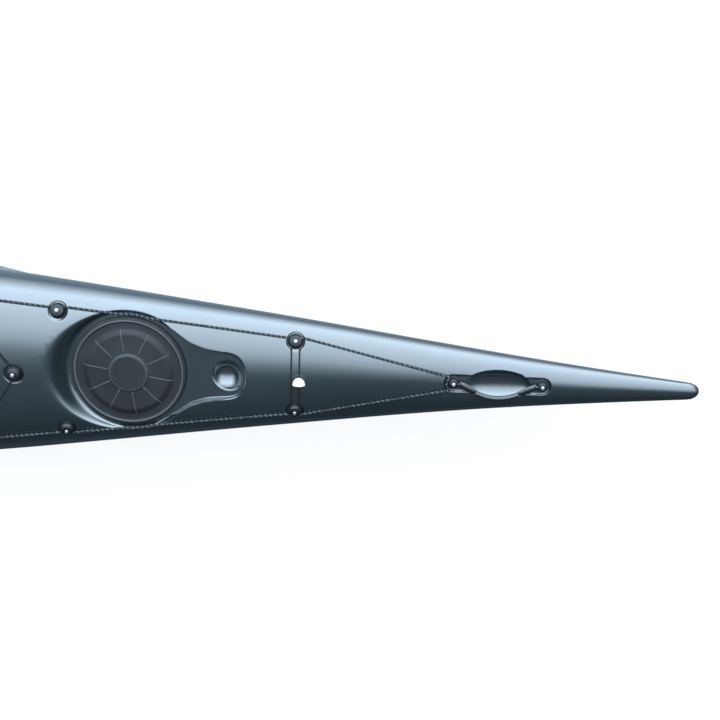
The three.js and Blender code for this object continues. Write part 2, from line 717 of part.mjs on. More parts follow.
// Seat: a bucket on the hull floor, hung from the deck by two plates
const seatAhead = 220.5;
const seatX = cockpitBack + seatAhead;
const seatLength = 305;
const seatWidth = 364;
const seatSideRise = 118;
const seatBackRise = 30;
const seatFrontRise = 20;
const seatBackShare = 0.22;
const seatFrontShare = 0.75;
const seatFlatShare = 0.42;
const seatWall = 5;
const seatFloor = hullWall + fitGap + seatWall;
const cushionThickness = 14;
const cushionCrown = 9;
const seatRows = 7;
const seatColumns = 10;
const cushionTrim = [1, 2];
const cushionLengthShare = 0.73;
const cushionWidthShare = 0.62;
const hangerThickness = 6;
const hangerLength = 210;
const hangerAft = 215;

// Rise beyond a place, from nothing there to the whole at 1
const riseBeyond = (place, from) => Math.max(0, (place - from) / (1 - from)) ** 2;
const bucketHeight = (u, v) => {
  const back = seatBackRise * riseBeyond(1 - u, 1 - seatBackShare);
  const front = seatFrontRise * riseBeyond(u, seatFrontShare);
  return seatFloor + seatSideRise * riseBeyond(Math.abs(v), seatFlatShare) + back + front;
};
const seatGrid = (height, [ends, sides] = [0, 0]) => {
  const [along, across] = [steps(seatRows).slice(ends), steps(seatColumns).slice(sides)];
  return along.slice(0, along.length - ends).map((u) => {
    return across.slice(0, across.length - sides).map((step) => {
      const v = 2 * step - 1;
      return point(seatX + (u - 0.5) * seatLength, (v * seatWidth) / 2, height(u, v));
    });
  });
};
const seatPan = () => slab(seatGrid(bucketHeight), seatGrid((u, v) => bucketHeight(u, v) - seatWall));

function seatCushion() {
  const under = (u, v) => bucketHeight(u, v) + fitGap;
  const over = (u, v) => {
    const crown = (1 - ((2 * u - 1) / cushionLengthShare) ** 4) * (1 - (v / cushionWidthShare) ** 4);
    return under(u, v) + cushionThickness + cushionCrown * crown;
  };
  return slab(seatGrid(over, cushionTrim), seatGrid(under, cushionTrim));
}

function seatHanger(side) {
  const y = seatWidth / 2 + fitGap;
  const aft = seatX - hangerAft;
  const [low, high] = [y, y + hangerThickness].map((edge) => edge * side).sort((p, q) => p - q);
  const foot = seatFloor + seatSideRise / 2;
  const plate = block(point(aft, low, foot), point(aft + hangerLength, high, deckTop));
  const [inner, outer] = [-overrun, overrun].map((reach) => backbandPivot(side * (y + reach)));
  return plate.intersect(insideShells).subtract(bar(inner, outer, bandPin + fitGap));
}

// Backband: a padded band on a plate that tips on two pins in the hangers
const bandBack = 193;
const bandX = seatX - bandBack;
const bandPin = 5;
const bandWidth = 296;
const bandHeight = 128;
const bandBottom = 104;
const bandPivotRise = 8;
const bandPivotZ = bandBottom + bandPivotRise;
const bandCurve = 34;
const bandPlate = 4;
const bandPad = 22;
const bandPadCrown = 10;
const bandArm = 14;

const backbandPivot = (y) => point(bandX, y, bandPivotZ);
const bandGrid = (depth) => steps(6).map((u) => steps(8).map((step) => {
  const v = 2 * step - 1;
  const x = bandX + bandCurve * v ** 2 + depth(u, v);
  return point(x, (v * bandWidth) / 2, bandBottom + u * bandHeight);
}));
const backbandPad = () => {
  const crown = (u, v) => bandPad + bandPadCrown * (1 - (2 * u - 1) ** 4) * (1 - v ** 4);
  return slab(bandGrid(crown), bandGrid(() => fitGap));
};

function backbandPlate() {
  const plate = slab(bandGrid(() => 0), bandGrid(() => -bandPlate));
  const arms = [1, -1].map((side) => {
    const inner = side * (bandWidth / 2 - bandPlate);
    const outer = side * (seatWidth / 2);
    const [low, high] = [inner, outer].sort((p, q) => p - q);
    const arm = block(
      point(bandX - bandArm / 2, low, bandPivotZ - bandArm / 2),
      point(bandX + bandCurve, high, bandPivotZ + bandArm / 2),
    );
    const reach = seatWidth / 2 + fitGap + hangerThickness;
    const pin = bar(backbandPivot(inner), backbandPivot(side * reach), bandPin);
    const room = block(
      point(bandX - bandArm, -bandWidth / 2 - fitGap, bandPivotZ - bandArm),
      point(bandX + bandCurve + bandPad * 2, bandWidth / 2 + fitGap, bandPivotZ + bandArm),
    );
    return arm.subtract(room).add(pin.subtract(room)).add(armRoot(side));
  });
  return joined([plate, ...arms]);
}

// The end of the plate turned back to carry an arm, behind the pad
function armRoot(side) {
  const edge = side * (bandWidth / 2);
  const [low, high] = [edge - side * bandPlate, edge + side * bandPlate].sort((p, q) => p - q);
  return block(
    point(bandX, low, bandPivotZ - bandArm / 2),
    point(bandX + bandCurve - bandPlate, high, bandPivotZ + bandArm / 2),
  );
}

// Thigh braces hug the underside of the deck on both sides of the cockpit front
const braceFromAngle = 0.42;
const braceToAngle = 1.08;
const braceInner = -52;
const braceOuter = 26;
const braceThickness = 9;
function thighBrace(side) {
  const grid = (drop) => steps(6).map((u) => steps(4).map((v) => {
    const [x, y] = cockpitPoint(mix(braceFromAngle, braceToAngle, u), mix(braceInner, braceOuter, v));
    return point(x, side * y, deckHeight(x, y) - drop);
  }));
  return slab(grid(0), grid(deckWall + fitGap + braceThickness)).intersect(insideShells);
}

// Footrests: a rail bolted along each side and a pedal that slides on it
const railLength = 420;
const railHeight = 24;
const railZ = 118;
const railDepth = 12;
const railOverlap = 14;
const pedalWidth = 86;
const pedalHeight = 128;
const pedalDrop = 30;
const pedalThickness = 12;
const pedalBase = 66;
const pedalBaseDepth = 10;

// Half breadth of the room inside the hull at a height
function insideBreadth(x, z) {
  const share = shareAt(x);
  const ring = hullRing(share, hullWall + fitGap, 0).filter((p) => p.y > 0);
  const i = Math.max(1, ring.findIndex((p) => p.z >= z));
  const t = (z - ring[i - 1].z) / (ring[i].z - ring[i - 1].z);
  return mix(ring[i - 1].y, ring[i].y, t);
}

// A frame on the rail's inner face: X along the rail, Y outboard, Z up
function railFrame(side) {
  const x = xAt(footrestShare);
  const endAt = (end) => point(end, insideBreadth(end, railZ), railZ);
  const ends = [endAt(x - railLength / 2), endAt(x + railLength / 2)];
  const along = ends[1].clone().sub(ends[0]).normalize();
  const middle = ends[0].clone().add(ends[1]).multiplyScalar(0.5);
  middle.y = (middle.y - railDepth) * side;
  along.y *= side;
  const outboard = point(0, 0, 1).cross(along).multiplyScalar(side);
  return new THREE.Matrix4().makeBasis(along, outboard, point(0, 0, 1)).setPosition(middle);
}

const placedBlock = (frame, low, high) => {
  const middle = low.clone().add(high).multiplyScalar(0.5);
  const box = new THREE.BoxGeometry(high.x - low.x, high.y - low.y, high.z - low.z);
  return solid(box, frame.clone().multiply(new THREE.Matrix4().setPosition(middle)));
};

const footRail = (side) => placedBlock(
  railFrame(side),
  point(-railLength / 2, 0, -railHeight / 2),
  point(railLength / 2, railDepth + railOverlap, railHeight / 2),
).intersect(insideShells);

function footPedal(side) {
  const frame = railFrame(side);
  const base = placedBlock(
    frame,
    point(-pedalBase / 2, -fitGap - pedalBaseDepth, -railHeight),
    point(pedalBase / 2, -fitGap, railHeight),
  );
  const plate = placedBlock(
    frame,
    point(-pedalThickness / 2, -pedalWidth - pedalBaseDepth, -pedalDrop),
    point(pedalThickness / 2, -fitGap - pedalBaseDepth / 2, pedalHeight - pedalDrop),
  );
  return base.add(plate);
}

// Skeg: a blade that drops through a slot in the keel from its box, on a pin
const skegLength = 285;
const skegHeight = 134;
const skegThickness = 7;
const skegClearance = 2.5;
const skegBoxWall = 4;
const skegBoxTop = 196;
const skegPivotZ = 42;
const skegRound = 22;
const skegPin = 4;
const skegPinReach = 4;
const skegOutlineShares = [
  [-0.06, -0.16], [-0.3, -0.13], [-0.62, -0.1], [-0.86, -0.04], [-0.97, 0.05], [-0.96, 0.2], [-0.86, 0.5],
  [-0.68, 0.78], [-0.45, 0.84], [-0.2, 0.62], [-0.03, 0.24], [0.06, 0.08], [0.06, -0.08],
];
const skegPivot = point(xAt(skegPivotShare), 0, skegPivotZ);
const skegInner = skegThickness / 2 + skegClearance;

const skegRoom = (grow, low, high) => block(
  point(skegPivot.x - skegLength - grow - skegClearance, -skegInner - grow, low),
  point(skegPivot.x + skegRound + grow + skegClearance, skegInner + grow, high),
);
const pinAcross = (reach, radius) => bar(
  skegPivot.clone().setY(-reach), skegPivot.clone().setY(reach), radius,
);
const skegBox = () => skegRoom(skegBoxWall, -overrun, skegBoxTop + skegBoxWall).intersect(insideShells)
  .subtract(skegRoom(0, -overrun, skegBoxTop)).subtract(pinAcross(overrun, skegPin + fitGap));
const skegPinBar = () => pinAcross(skegInner + skegBoxWall + skegPinReach, skegPin);

function skegBlade() {
  const outline = skegOutlineShares.map(([along, up]) => [
    skegPivot.x + along * skegLength, skegPivot.z + up * skegHeight,
  ]);
  const plate = plateAcross(outline, -skegThickness / 2, skegThickness / 2);
  return plate.subtract(pinAcross(overrun, skegPin + fitGap));
}

const hullShell = () => hullBody(0).subtract(hullBody(hullWall, overrun))
  .subtract(skegRoom(0, -overrun, skegPivotZ));

// Skeg slider on the deck by the cockpit, with the cable that runs back to the skeg box
const sliderInset = 52;
const trackLength = 132;
const trackWidth = 24;
const trackHeight = 9;
const grooveWidth = 7;
const grooveDepth = 5;
const sliderTravel = 60;
const sliderLength = 34;
const sliderHeight = 13;
const cableSides = 6;
const trackFrame = deckFrame(xAt(sliderShare), halfBeamAt(sliderShare) - sliderInset);
const cableEntry = -trackLength / 3;

const sliderSeat = () => placedBlock(
  trackFrame,
  point(-trackLength / 2 - seatClearance, -trackWidth / 2 - seatClearance, 0),
  point(trackLength / 2 + seatClearance, trackWidth / 2 + seatClearance, overrun),
);
const sliderTrack = () => placedBlock(
  trackFrame,
  point(-trackLength / 2, -trackWidth / 2, fitGap),
  point(trackLength / 2, trackWidth / 2, trackHeight),
).subtract(placedBlock(
  trackFrame,
  point(-trackLength / 2 + grooveWidth, -grooveWidth / 2, trackHeight - grooveDepth),
  point(trackLength / 2 - grooveWidth, grooveWidth / 2, trackHeight + overrun),
)).subtract(cable(cableRadius + fitGap));

function sliderKnob() {
  const middle = sliderTravel / 2;
  const half = sliderLength / 2;
  const tongue = placedBlock(
    trackFrame,
    point(middle - half, -grooveWidth / 2 + fitGap, trackHeight - grooveDepth + 2 * fitGap),
    point(middle + half, grooveWidth / 2 - fitGap, trackHeight + 2 * fitGap),
  );
  const grip = placedBlock(
    trackFrame,
    point(middle - half, -trackWidth / 2 + seatClearance, trackHeight + fitGap),
    point(middle + half, trackWidth / 2 - seatClearance, trackHeight + sliderHeight),
  );
  return grip.add(tongue);
}

// The cable's route: places along the boat, how far out in the half beam, and heights, all as shares
const cableSweep = 16.8;
const cableRouteShares = [
  [0.862, 0.01, 0.6], [0.852, 0.06, 0.66], [0.83, 0.22, 0.67], [0.79, 0.5, 0.655], [0.74, 0.72, 0.645],
  [0.69, 0.85, 0.64], [0.62, 0.9, 0.635], [0.56, 0.88, 0.64], [0.525, 0.86, 0.66],
];
function cable(radius) {
  const points = cableRouteShares.map(([share, out, height]) => {
    const breadth = (halfBeamAt(share) - hullWall) * out;
    return point(xAt(share), breadth, height * deckTop);
  });
  points[0].z = skegBoxTop + skegBoxWall + fitGap + cableRadius;
  points[0].y = 0;
  points[1].y = cableSweep;
  const end = inFrame(trackFrame, cableEntry, 0, fitGap * 2);
  const below = inFrame(trackFrame, cableEntry, 0, -overrun);
  const curve = new THREE.CatmullRomCurve3([...points, below, end], false, 'catmullrom', 0.5);
  return tube(curve.getPoints(20), radius, cableSides);
}
const cableHole = () => bar(
  inFrame(trackFrame, cableEntry, 0, -overrun), inFrame(trackFrame, cableEntry, 0, overrun),
  cableRadius + 5 * fitGap,
);

// Lines and bungees

const onDeck = (x, y, lift) => point(x, y, deckHeight(x, y) + lift);

// Points over the deck between two points, both left out
function overDeckPoints(from, to, lift, count) {
  return steps(count).slice(1, -1).map((step) => {
    const p = from.clone().lerp(to, step);
    return onDeck(p.x, p.y, lift);
  });
}

// Perimeter line: through each fitting outboard of its screw, round the inner cap of the carry handle
const lineStep = 130;
const lineHoleHeight = 6;
const capHoleHeight = 9;
const capHoleBack = 8;
const coverMargin = 8;
function perimeterLine(names, handle) {
  const lift = lineRadius + lineLift;
  const through = names.map((name) => {
    const { frame, y } = fittingNamed(name);
    return [-1, 1].map((end) => {
      return inFrame(frame, end * fittingRadius * handle.forward, Math.sign(y) * lineOut, lineHoleHeight);
    });
  });
  const cap = inFrame(handle.inner, -handle.forward * capHoleBack, capRadius, capHoleHeight);
  const leg = [...through.flat(), cap];
  const port = leg.flatMap((p, i) => {
    const spanned = i % 2 === 1;
    if (!spanned) return [p];
    const next = leg[i + 1];
    return [p, ...overDeckPoints(p, next, lift, Math.round(p.distanceTo(next) / lineStep))];
  });
  port.forEach((p) => keepOffCovers(p));
  const starboard = port.map((p) => point(p.x, -p.y, p.z)).reverse();
  return [...port, ...starboard];
}

// Where the line would pass over a cover, it lies just outside the cover's edge
function keepOffCovers(p) {
  hatches.forEach(({ centre, a, b }) => {
    const along = (p.x - centre.x) / (a + coverMargin + lineRadius);
    if (Math.abs(along) >= 1) return;
    const out = (b + coverMargin) * Math.sqrt(1 - along ** 2);
    if (Math.abs(p.y) < out) p.y = Math.sign(p.y) * out;
    p.z = Math.max(p.z, deckHeight(p.x, p.y) + lineRadius + lineLift);
  });
}

const bowLineFittings = ['cockpit_port', 'foredeck_port', 'front_port', 'bow_port'];
const sternLineFittings = ['reardeck_port', 'stern_port'];
const bowLinePoints = perimeterLine(bowLineFittings, handles.bow);
const sternLinePoints = perimeterLine(sternLineFittings, handles.stern);
const lineSides = 6;

// Bungee loop: two strands across the deck between a pair of fittings, turned inside their domes
const bungeeHoleHeight = 5.2;
const bungeeTurnShare = 0.8;
function bungeeLoop(portName, starboardName) {
  const { frame } = fittingNamed(portName);
  const lift = bungeeRadius + bungeeLift;
  const inDome = (along) => inFrame(frame, along, -bungeeTurn, bungeeHoleHeight);
  const atEdge = (along) => inFrame(frame, along, -fittingRadius, bungeeHoleHeight);
  const across = (along) => {
    const edge = atEdge(along);
    const middle = steps(10).slice(1, -1);
    return [edge, ...middle.map((step) => onDeck(edge.x, mix(edge.y, -edge.y, step), lift))];
  };
  const fore = across(bungeeSpread);
  const aft = across(-bungeeSpread);
  const mirrored = (p) => point(p.x, -p.y, p.z);
  const portTurn = [-1, 1].map((end) => inDome(end * bungeeSpread * bungeeTurnShare));
  return [
    ...portTurn, ...fore, mirrored(atEdge(bungeeSpread)), ...portTurn.map(mirrored).reverse(),
    mirrored(atEdge(-bungeeSpread)), ...aft.slice(1).reverse(), atEdge(-bungeeSpread),
  ];
}
const crossLoop = bungeeLoop('bow_port', 'bow_starboard');

// Foredeck bungee: from one cockpit fitting over the centre fitting to the other side
const foredeckEdgeShare = 0.5;
const foredeckCentreShare = 0.4;
function foredeckRoute() {
  const lift = bungeeRadius + bungeeLift;
  const [port, centre] = [fittingNamed('foredeck_port'), fittingNamed('foredeck_centre')];
  const start = inFrame(port.frame, 0, -bungeeTurn, bungeeHoleHeight);
  const edgeAlong = fittingRadius * foredeckEdgeShare;
  const nearAlong = -fittingRadius * foredeckCentreShare;
  const edge = inFrame(port.frame, edgeAlong, -fittingRadius, bungeeHoleHeight);
  const near = inFrame(centre.frame, nearAlong, fittingRadius, bungeeHoleHeight);
  const turn = inFrame(centre.frame, bungeeTurn, bungeeTurn, bungeeHoleHeight);
  const half = [start, edge, ...overDeckPoints(edge, near, lift, 6), near, turn];
  return [...half, ...half.map((p) => point(p.x, -p.y, p.z)).reverse()];
}
const foredeckPoints = foredeckRoute();
const rearLoop = bungeeLoop('reardeck_port', 'reardeck_starboard');
const bungeeSides = 6;

// White half-dome bead on the fore strand of the cross bungee
const beadRadius = 15;
const beadHeight = 19;
const beadY = 5;
const beadSides = 12;
function bead() {
  const x = inFrame(fittingNamed('bow_port').frame, bungeeSpread, 0, 0).x;
  const lift = bungeeRadius + bungeeLift;
  const profile = steps(4).slice(0, -1).map((step) => {
    const angle = (step * Math.PI) / 2;
    return new THREE.Vector2(beadRadius * Math.cos(angle), beadHeight * Math.sin(angle));
  });
  const ends = [new THREE.Vector2(0, 0), new THREE.Vector2(0, beadHeight)];
  const lathe = new THREE.LatheGeometry([ends[0], ...profile, ends[1]], beadSides);
  const place = new THREE.Matrix4().setPosition(x, -beadY, deckHeight(x, 0) + lift);
  const dome = solid(lathe, place);
  return dome.subtract(overDeck).subtract(tube(crossLoop, bungeeRadius + fitGap, bungeeSides, true));
}

// Assembly
add('hull_shell', hullShell(), shellPlastic);
add('deck_shell', deckShell(), shellPlastic);
add('cockpit_coaming', coaming(), blackPlastic);
add('front_bulkhead', bulkhead(xAt(frontBulkheadShare)), greyFoam);
add('day_bulkhead', bulkhead(cockpitBack - dayBulkheadBehind), greyFoam);
add('rear_bulkhead', bulkhead(xAt(rearBulkheadShare)), greyFoam);
hatches.forEach((hatch) => {
  add(`${hatch.name}_hatch_rim`, hatchRim(hatch), blackPlastic);
  add(`${hatch.name}_hatch_cover`, hatchCover(hatch), blackRubber);
});
add('seat_pan', seatPan(), blackPlastic);
add('seat_cushion', seatCushion(), blackFabric);
add('backband_pad', backbandPad(), blackFabric);
add('backband_plate', backbandPlate(), blackPlastic);
[['left', 1], ['right', -1]].forEach(([name, side]) => {
  add(`${name}_seat_hanger`, seatHanger(side), blackPlastic);
  add(`${name}_thigh_brace`, thighBrace(side), blackPlastic);
  add(`${name}_foot_rail`, footRail(side), blackPlastic);
  add(`${name}_foot_pedal`, footPedal(side), blackPlastic);
});
add('skeg_box', skegBox(), blackPlastic);
add('skeg_blade', skegBlade(), blackPlastic);
add('skeg_pin', skegPinBar(), brightSteel);
add('skeg_cable', cable(cableRadius), blackPlastic);
add('slider_track', sliderTrack(), blackPlastic);
add('slider_knob', sliderKnob(), blackPlastic);
const linesAndBungees = (grow) => ({
  bow_deck_line: tube(bowLinePoints, lineRadius + grow, lineSides),
  stern_deck_line: tube(sternLinePoints, lineRadius + grow, lineSides),
  cross_bungee: tube(crossLoop, bungeeRadius + grow, bungeeSides, true),
  foredeck_bungee: tube(foredeckPoints, bungeeRadius + grow, bungeeSides),
  reardeck_bungee: tube(rearLoop, bungeeRadius + grow, bungeeSides, true),
});
const lineHoles = joined(Object.values(linesAndBungees(fitGap)));
Object.entries(handles).forEach(([name, handle]) => {
  const body = handleBody(handle);
  const { innerPivot, outerPivot } = handle;
  const socket = bar(innerPivot, outerPivot, trunnionRadius + fitGap);
  add(`${name}_handle`, body, blackRubber);
  const [inner, outer] = [handleCap(handle.inner), handleCap(handle.outer)];
  add(`${name}_handle_inner_cap`, inner.subtract(socket).subtract(lineHoles), blackPlastic);
  add(`${name}_handle_outer_cap`, outer.subtract(socket), blackPlastic);
});
fittings.forEach((fitting) => {
  const { name, frame, screwed } = fitting;
  const dome = largest(domeOn(frame, fittingRadius, fittingHeight).subtract(lineHoles));
  const top = fitGap + fittingHeight;
  if (screwed) {
    add(`${name}_fitting`, dome.subtract(screwHole(frame)), blackPlastic);
    add(`${name}_screw`, screw(frame, top + fitGap), brightSteel);
  } else {
    add(`${name}_fitting`, dome.add(panHead(frame, top, fitGap)), blackPlastic);
  }
});
Object.entries(linesAndBungees(0)).forEach(([name, body]) => {
  add(name, body, name.endsWith('line') ? fleckedCord : elasticCord);
});
add('bungee_bead', bead(), whitePlastic);
export default boat;
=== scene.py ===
import math

import bpy
import numpy as np
from mathutils import Matrix, Vector, geometry
from mathutils.kdtree import KDTree


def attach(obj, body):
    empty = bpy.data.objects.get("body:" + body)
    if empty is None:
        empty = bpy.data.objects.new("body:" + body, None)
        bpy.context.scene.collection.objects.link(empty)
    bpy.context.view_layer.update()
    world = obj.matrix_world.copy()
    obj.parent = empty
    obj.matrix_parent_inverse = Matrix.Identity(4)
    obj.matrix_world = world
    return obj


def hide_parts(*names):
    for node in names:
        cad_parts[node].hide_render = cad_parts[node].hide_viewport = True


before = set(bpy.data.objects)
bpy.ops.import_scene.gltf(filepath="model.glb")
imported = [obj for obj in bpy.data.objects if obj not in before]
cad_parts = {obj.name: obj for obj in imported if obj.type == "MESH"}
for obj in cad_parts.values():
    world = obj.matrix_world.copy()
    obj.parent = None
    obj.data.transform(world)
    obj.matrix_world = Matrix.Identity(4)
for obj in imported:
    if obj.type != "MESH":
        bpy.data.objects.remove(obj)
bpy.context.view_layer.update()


# The camera: it stands over the boat's port side, a little aft of the bow handle, and looks down
# and across the foredeck. The lens is a plain 40 mm on a 36 mm wide sensor.
camera_place = Vector((1.64086, 0.65217, 2.08817))
camera_turn = Vector((-0.3273020, -0.0474175, 0.0341367))
camera = bpy.data.objects.new("camera", bpy.data.cameras.new("camera"))
camera.data.lens = 40
camera.data.sensor_width = 36
camera.data.clip_end = 60
camera.matrix_world = (
    Matrix.Translation(camera_place)
    @ Matrix.Rotation(camera_turn.length, 4, camera_turn.normalized())
)
bpy.context.scene.collection.objects.link(camera)
bpy.context.scene.camera = camera
bpy.context.scene.view_settings.view_transform = "Standard"


# The light: a room whose port side and ceiling are one great soft box and whose starboard side is
# dim, so that the glossy deck is pale to port and dark to starboard. The floor is plain and pale to the
# camera. To reflections and bounced light it is painted shade, dark to starboard.
class Wire:
    """One output of a node. Sums and products of wires add the nodes that work them out."""

    def __init__(self, finish, socket):
        self.finish = finish
        self.socket = socket

    def __add__(self, other):
        return self.finish.maths("ADD", self, other)

    def __sub__(self, other):
        return self.finish.maths("SUBTRACT", self, other)

    def __rsub__(self, other):
        return self.finish.maths("SUBTRACT", other, self)

    def __mul__(self, other):
        return self.finish.maths("MULTIPLY", self, other)

    def __truediv__(self, other):
        return self.finish.maths("DIVIDE", self, other)

    __radd__ = __add__
    __rmul__ = __mul__

    def between(self, low, high):
        """0 at low, 1 at high and smooth between."""
        settings = {"interpolation_type": "SMOOTHSTEP"}
        return self.finish.node("ShaderNodeMapRange", settings, {0: self, 1: low, 2: high})


class Finish:
    """The nodes of one material, or of the world."""

    def __init__(self, owner):
        owner.use_nodes = True
        self.owner = owner
        self.tree = owner.node_tree
        self.tree.nodes.clear()

    def node(self, kind, settings=None, inputs=None, output=0):
        made = self.tree.nodes.new(kind)
        for name, value in (settings or {}).items():
            if name == "stops":
                self.set_stops(made.color_ramp, value)
            else:
                setattr(made, name, value)
        for name, value in (inputs or {}).items():
            if isinstance(value, Wire):
                self.tree.links.new(value.socket, made.inputs[name])
            else:
                made.inputs[name].default_value = value
        return Wire(self, made.outputs[output])

    def maths(self, operation, *values):
        return self.node("ShaderNodeMath", {"operation": operation}, dict(enumerate(values)))

    def set_stops(self, ramp, stops):
        while len(ramp.elements) < len(stops):
            ramp.elements.new(1)
        for element, (place, color) in zip(ramp.elements, stops):
            element.position = place
            element.color = (*color, 1)

    def mixed(self, share, first, second):
        """A colour between two others."""
        return self.node("ShaderNodeMix", {"data_type": "RGBA"}, {0: share, 6: first, 7: second}, 2)

    def parts(self, vector):
        """The three numbers of a place or direction."""
        split = self.node("ShaderNodeSeparateXYZ", {}, {0: vector}).socket.node
        return [Wire(self, output) for output in split.outputs]

    def place(self):
        """Where a point lies on its piece, in metres."""
        return self.node("ShaderNodeTexCoord", output="Object")

    def noise(self, scale, detail, roughness, stretch=(1, 1, 1), distortion=0):
        """Noise over the piece in metres, from 0 to 1."""
        placed = self.node("ShaderNodeMapping", {}, {0: self.place(), 3: stretch})
        inputs = {"Vector": placed, "Scale": scale, "Detail": detail, "Roughness": roughness}
        return self.node("ShaderNodeTexNoise", {}, {**inputs, "Distortion": distortion})

    def bump(self, height, distance):
        return self.node("ShaderNodeBump", {}, {"Height": height, "Distance": distance, "Strength": 1})

    def surface(self, **inputs):
        """The principled shader at the end, with its inputs named with underscores."""
        named = {name.replace("_", " "): value for name, value in inputs.items()}
        return self.closed(self.node("ShaderNodeBsdfPrincipled", {}, named))

    def grained(self, color, grain, rough, rougher, depth, **inputs):
        """A surface that its grain makes rougher, by up to a share, and lifts by up to a depth."""
        roughness, normal = rough + grain * rougher, self.bump(grain, depth)
        return self.surface(Base_Color=color, Roughness=roughness, Normal=normal, **inputs)

    def closed(self, shader, kind="ShaderNodeOutputMaterial"):
        self.tree.links.new(shader.socket, self.tree.nodes.new(kind).inputs["Surface"])
        return self.owner


def new_finish(name):
    return Finish(bpy.data.materials.new(name))


dim_light = (0.045, 0.05, 0.055)
box_light = (4.0, 5.05, 6.0)
box_levels = [
    (-60, 0.012), (-38, 0.026), (-20, 0.042), (-14, 0.075), (-8, 0.15), (0, 0.42), (9, 0.58), (20, 0.68), (35, 0.84),
    (55, 1), (68, 0.66), (80, 0.36), (97, 0.17), (120, 0.1),
]
lean_low, lean_span = -180, 360
box_fade = (0.5, 0.95)
room = Finish(bpy.context.scene.world or bpy.data.worlds.new("room"))
bpy.context.scene.world = room.owner
along, across, up = room.parts(room.node("ShaderNodeTexCoord"))
leaning = room.maths("DEGREES", room.maths("ARCTAN2", across, up))
box_stops = [
    ((lean - lean_low) / lean_span, tuple(level * value for value in box_light)) for lean, level in box_levels
]
box_shade = room.node("ShaderNodeValToRGB", {"stops": box_stops}, {0: (leaning - lean_low) / lean_span})
box_share = 1 - room.maths("ABSOLUTE", along).between(*box_fade)
lit = room.mixed(box_share, (*dim_light, 1), box_shade)
seen_white = room.maths("MAXIMUM", *(
    room.node("ShaderNodeLightPath", output=ray) for ray in ("Is Camera Ray", "Is Transmission Ray")
))
shown = room.mixed(seen_white, lit, (1, 1, 1, 1))
room.closed(room.node("ShaderNodeBackground", {}, {"Color": shown}), "ShaderNodeOutputWorld")

bpy.ops.object.select_all(action="DESELECT")
bpy.ops.mesh.primitive_plane_add(size=30)
floor = bpy.context.object
floor.name = "floor"
white = new_finish("white_floor_painted_shade")
# To the camera the floor is plain white with the boat's shadow. To reflections and bounced light its colour is
# painted shade: dark to starboard and mid grey to port, so the hull's starboard side reflects dark.
to_port = white.parts(white.place())[1].between(-0.5, 0.6)
floor_painted_shade = white.mixed(to_port, (0.05, 0.055, 0.06, 1), (0.4, 0.45, 0.49, 1))
view_ray = white.node("ShaderNodeLightPath")
seen_color = white.mixed(view_ray, floor_painted_shade, (0.95, 0.95, 0.95, 1))
painted = white.node("ShaderNodeBsdfDiffuse", {}, {"Color": seen_color})
glowing = white.node("ShaderNodeEmission", {}, {"Color": (1, 1, 1, 1), "Strength": 1.0})
floor_look = white.node("ShaderNodeMixShader", {}, {0: view_ray * 0.86, 1: painted, 2: glowing})
floor.data.materials.append(white.closed(floor_look))


# The deck: the upper half of the boat's shell, a glossy blue-grey plastic moulding 4.5 mm thick. The
# hatch recesses, the compass recess with its dish, the handle slots and the fitting seats are in it.
boat_length = 5.1
beam = 0.56
deck_top = 0.345
deck_wall = 0.0045
seam_drop = 0.013
seam_lap = 0.0003
tip_round = 0.022

half_beam_rows = [
    (0, 0.068), (0.03, 0.122), (0.08, 0.221), (0.13, 0.336), (0.18, 0.462), (0.23, 0.583), (0.28, 0.705),
    (0.33, 0.818), (0.39, 0.918), (0.45, 0.981), (0.5, 1), (0.56, 0.984), (0.62, 0.927), (0.68, 0.838),
    (0.74, 0.72), (0.8, 0.575), (0.86, 0.42), (0.92, 0.262), (0.97, 0.135), (1, 0.068),
]
sheer_rows = [
    (0, 0.975), (0.07, 0.877), (0.11, 0.824), (0.18, 0.757), (0.25, 0.718), (0.31, 0.697), (0.39, 0.68),
    (0.5, 0.66), (0.6, 0.65), (0.7, 0.662), (0.78, 0.69), (0.86, 0.738), (0.93, 0.8), (1, 0.9),
]
crown_rows = [
    (0, 1), (0.07, 0.96), (0.11, 0.933), (0.18, 0.905), (0.25, 0.919), (0.31, 0.948), (0.37, 0.98),
    (0.42, 1), (0.5, 0.935), (0.585, 0.823), (0.62, 0.809), (0.7, 0.82), (0.78, 0.832), (0.86, 0.855),
    (0.93, 0.89), (1, 0.95),
]
crown_power_rows = [
    (0, 1.6), (0.2, 1.75), (0.28, 2), (0.35, 2.3), (0.42, 2.8), (0.58, 2.8), (0.66, 2.3), (0.8, 1.9), (1, 1.7),
]


def softened(line, step, width):
    """Values a step apart, with their bends eased over a width and their ends kept."""
    reach = int(3 * width / step)
    weights = np.exp(-0.5 * (np.arange(-reach, reach + 1) * step / width) ** 2)
    ends = 2 * line[0] - line[reach:0:-1], 2 * line[-1] - line[-2 : -reach - 2 : -1]
    return np.convolve(np.concatenate((ends[0], line, ends[1])), weights / weights.sum(), "valid")


def fair_curve(rows, softening=0.012):
    """A smooth line through rows of a place and a value, as shares, like a batten bent over them."""
    places, values = (np.array(column, float) for column in zip(*rows))
    steps = np.diff(places)
    rises = np.diff(values) / steps
    slopes = np.zeros(len(rows))
    same_way = rises[:-1] * rises[1:] > 0
    both = rises[:-1] + rises[1:]
    slopes[1:-1] = np.where(same_way, 2 * rises[:-1] * rises[1:] / np.where(same_way, both, 1), 0)
    slopes[[0, -1]] = rises[[0, -1]]
    fine = np.linspace(0, 1, 2041)
    i = np.clip(np.searchsorted(places, fine) - 1, 0, len(steps) - 1)
    t = (fine - places[i]) / steps[i]
    leaving = slopes[i] * steps[i] - (values[i + 1] - values[i])
    arriving = slopes[i + 1] * steps[i] - (values[i + 1] - values[i])
    line = values[i] + (values[i + 1] - values[i]) * t + t * (1 - t) * ((1 - t) * leaving - t * arriving)
    if softening:
        line = softened(line, fine[1] - fine[0], softening)
    return lambda share: np.interp(share, fine, line)


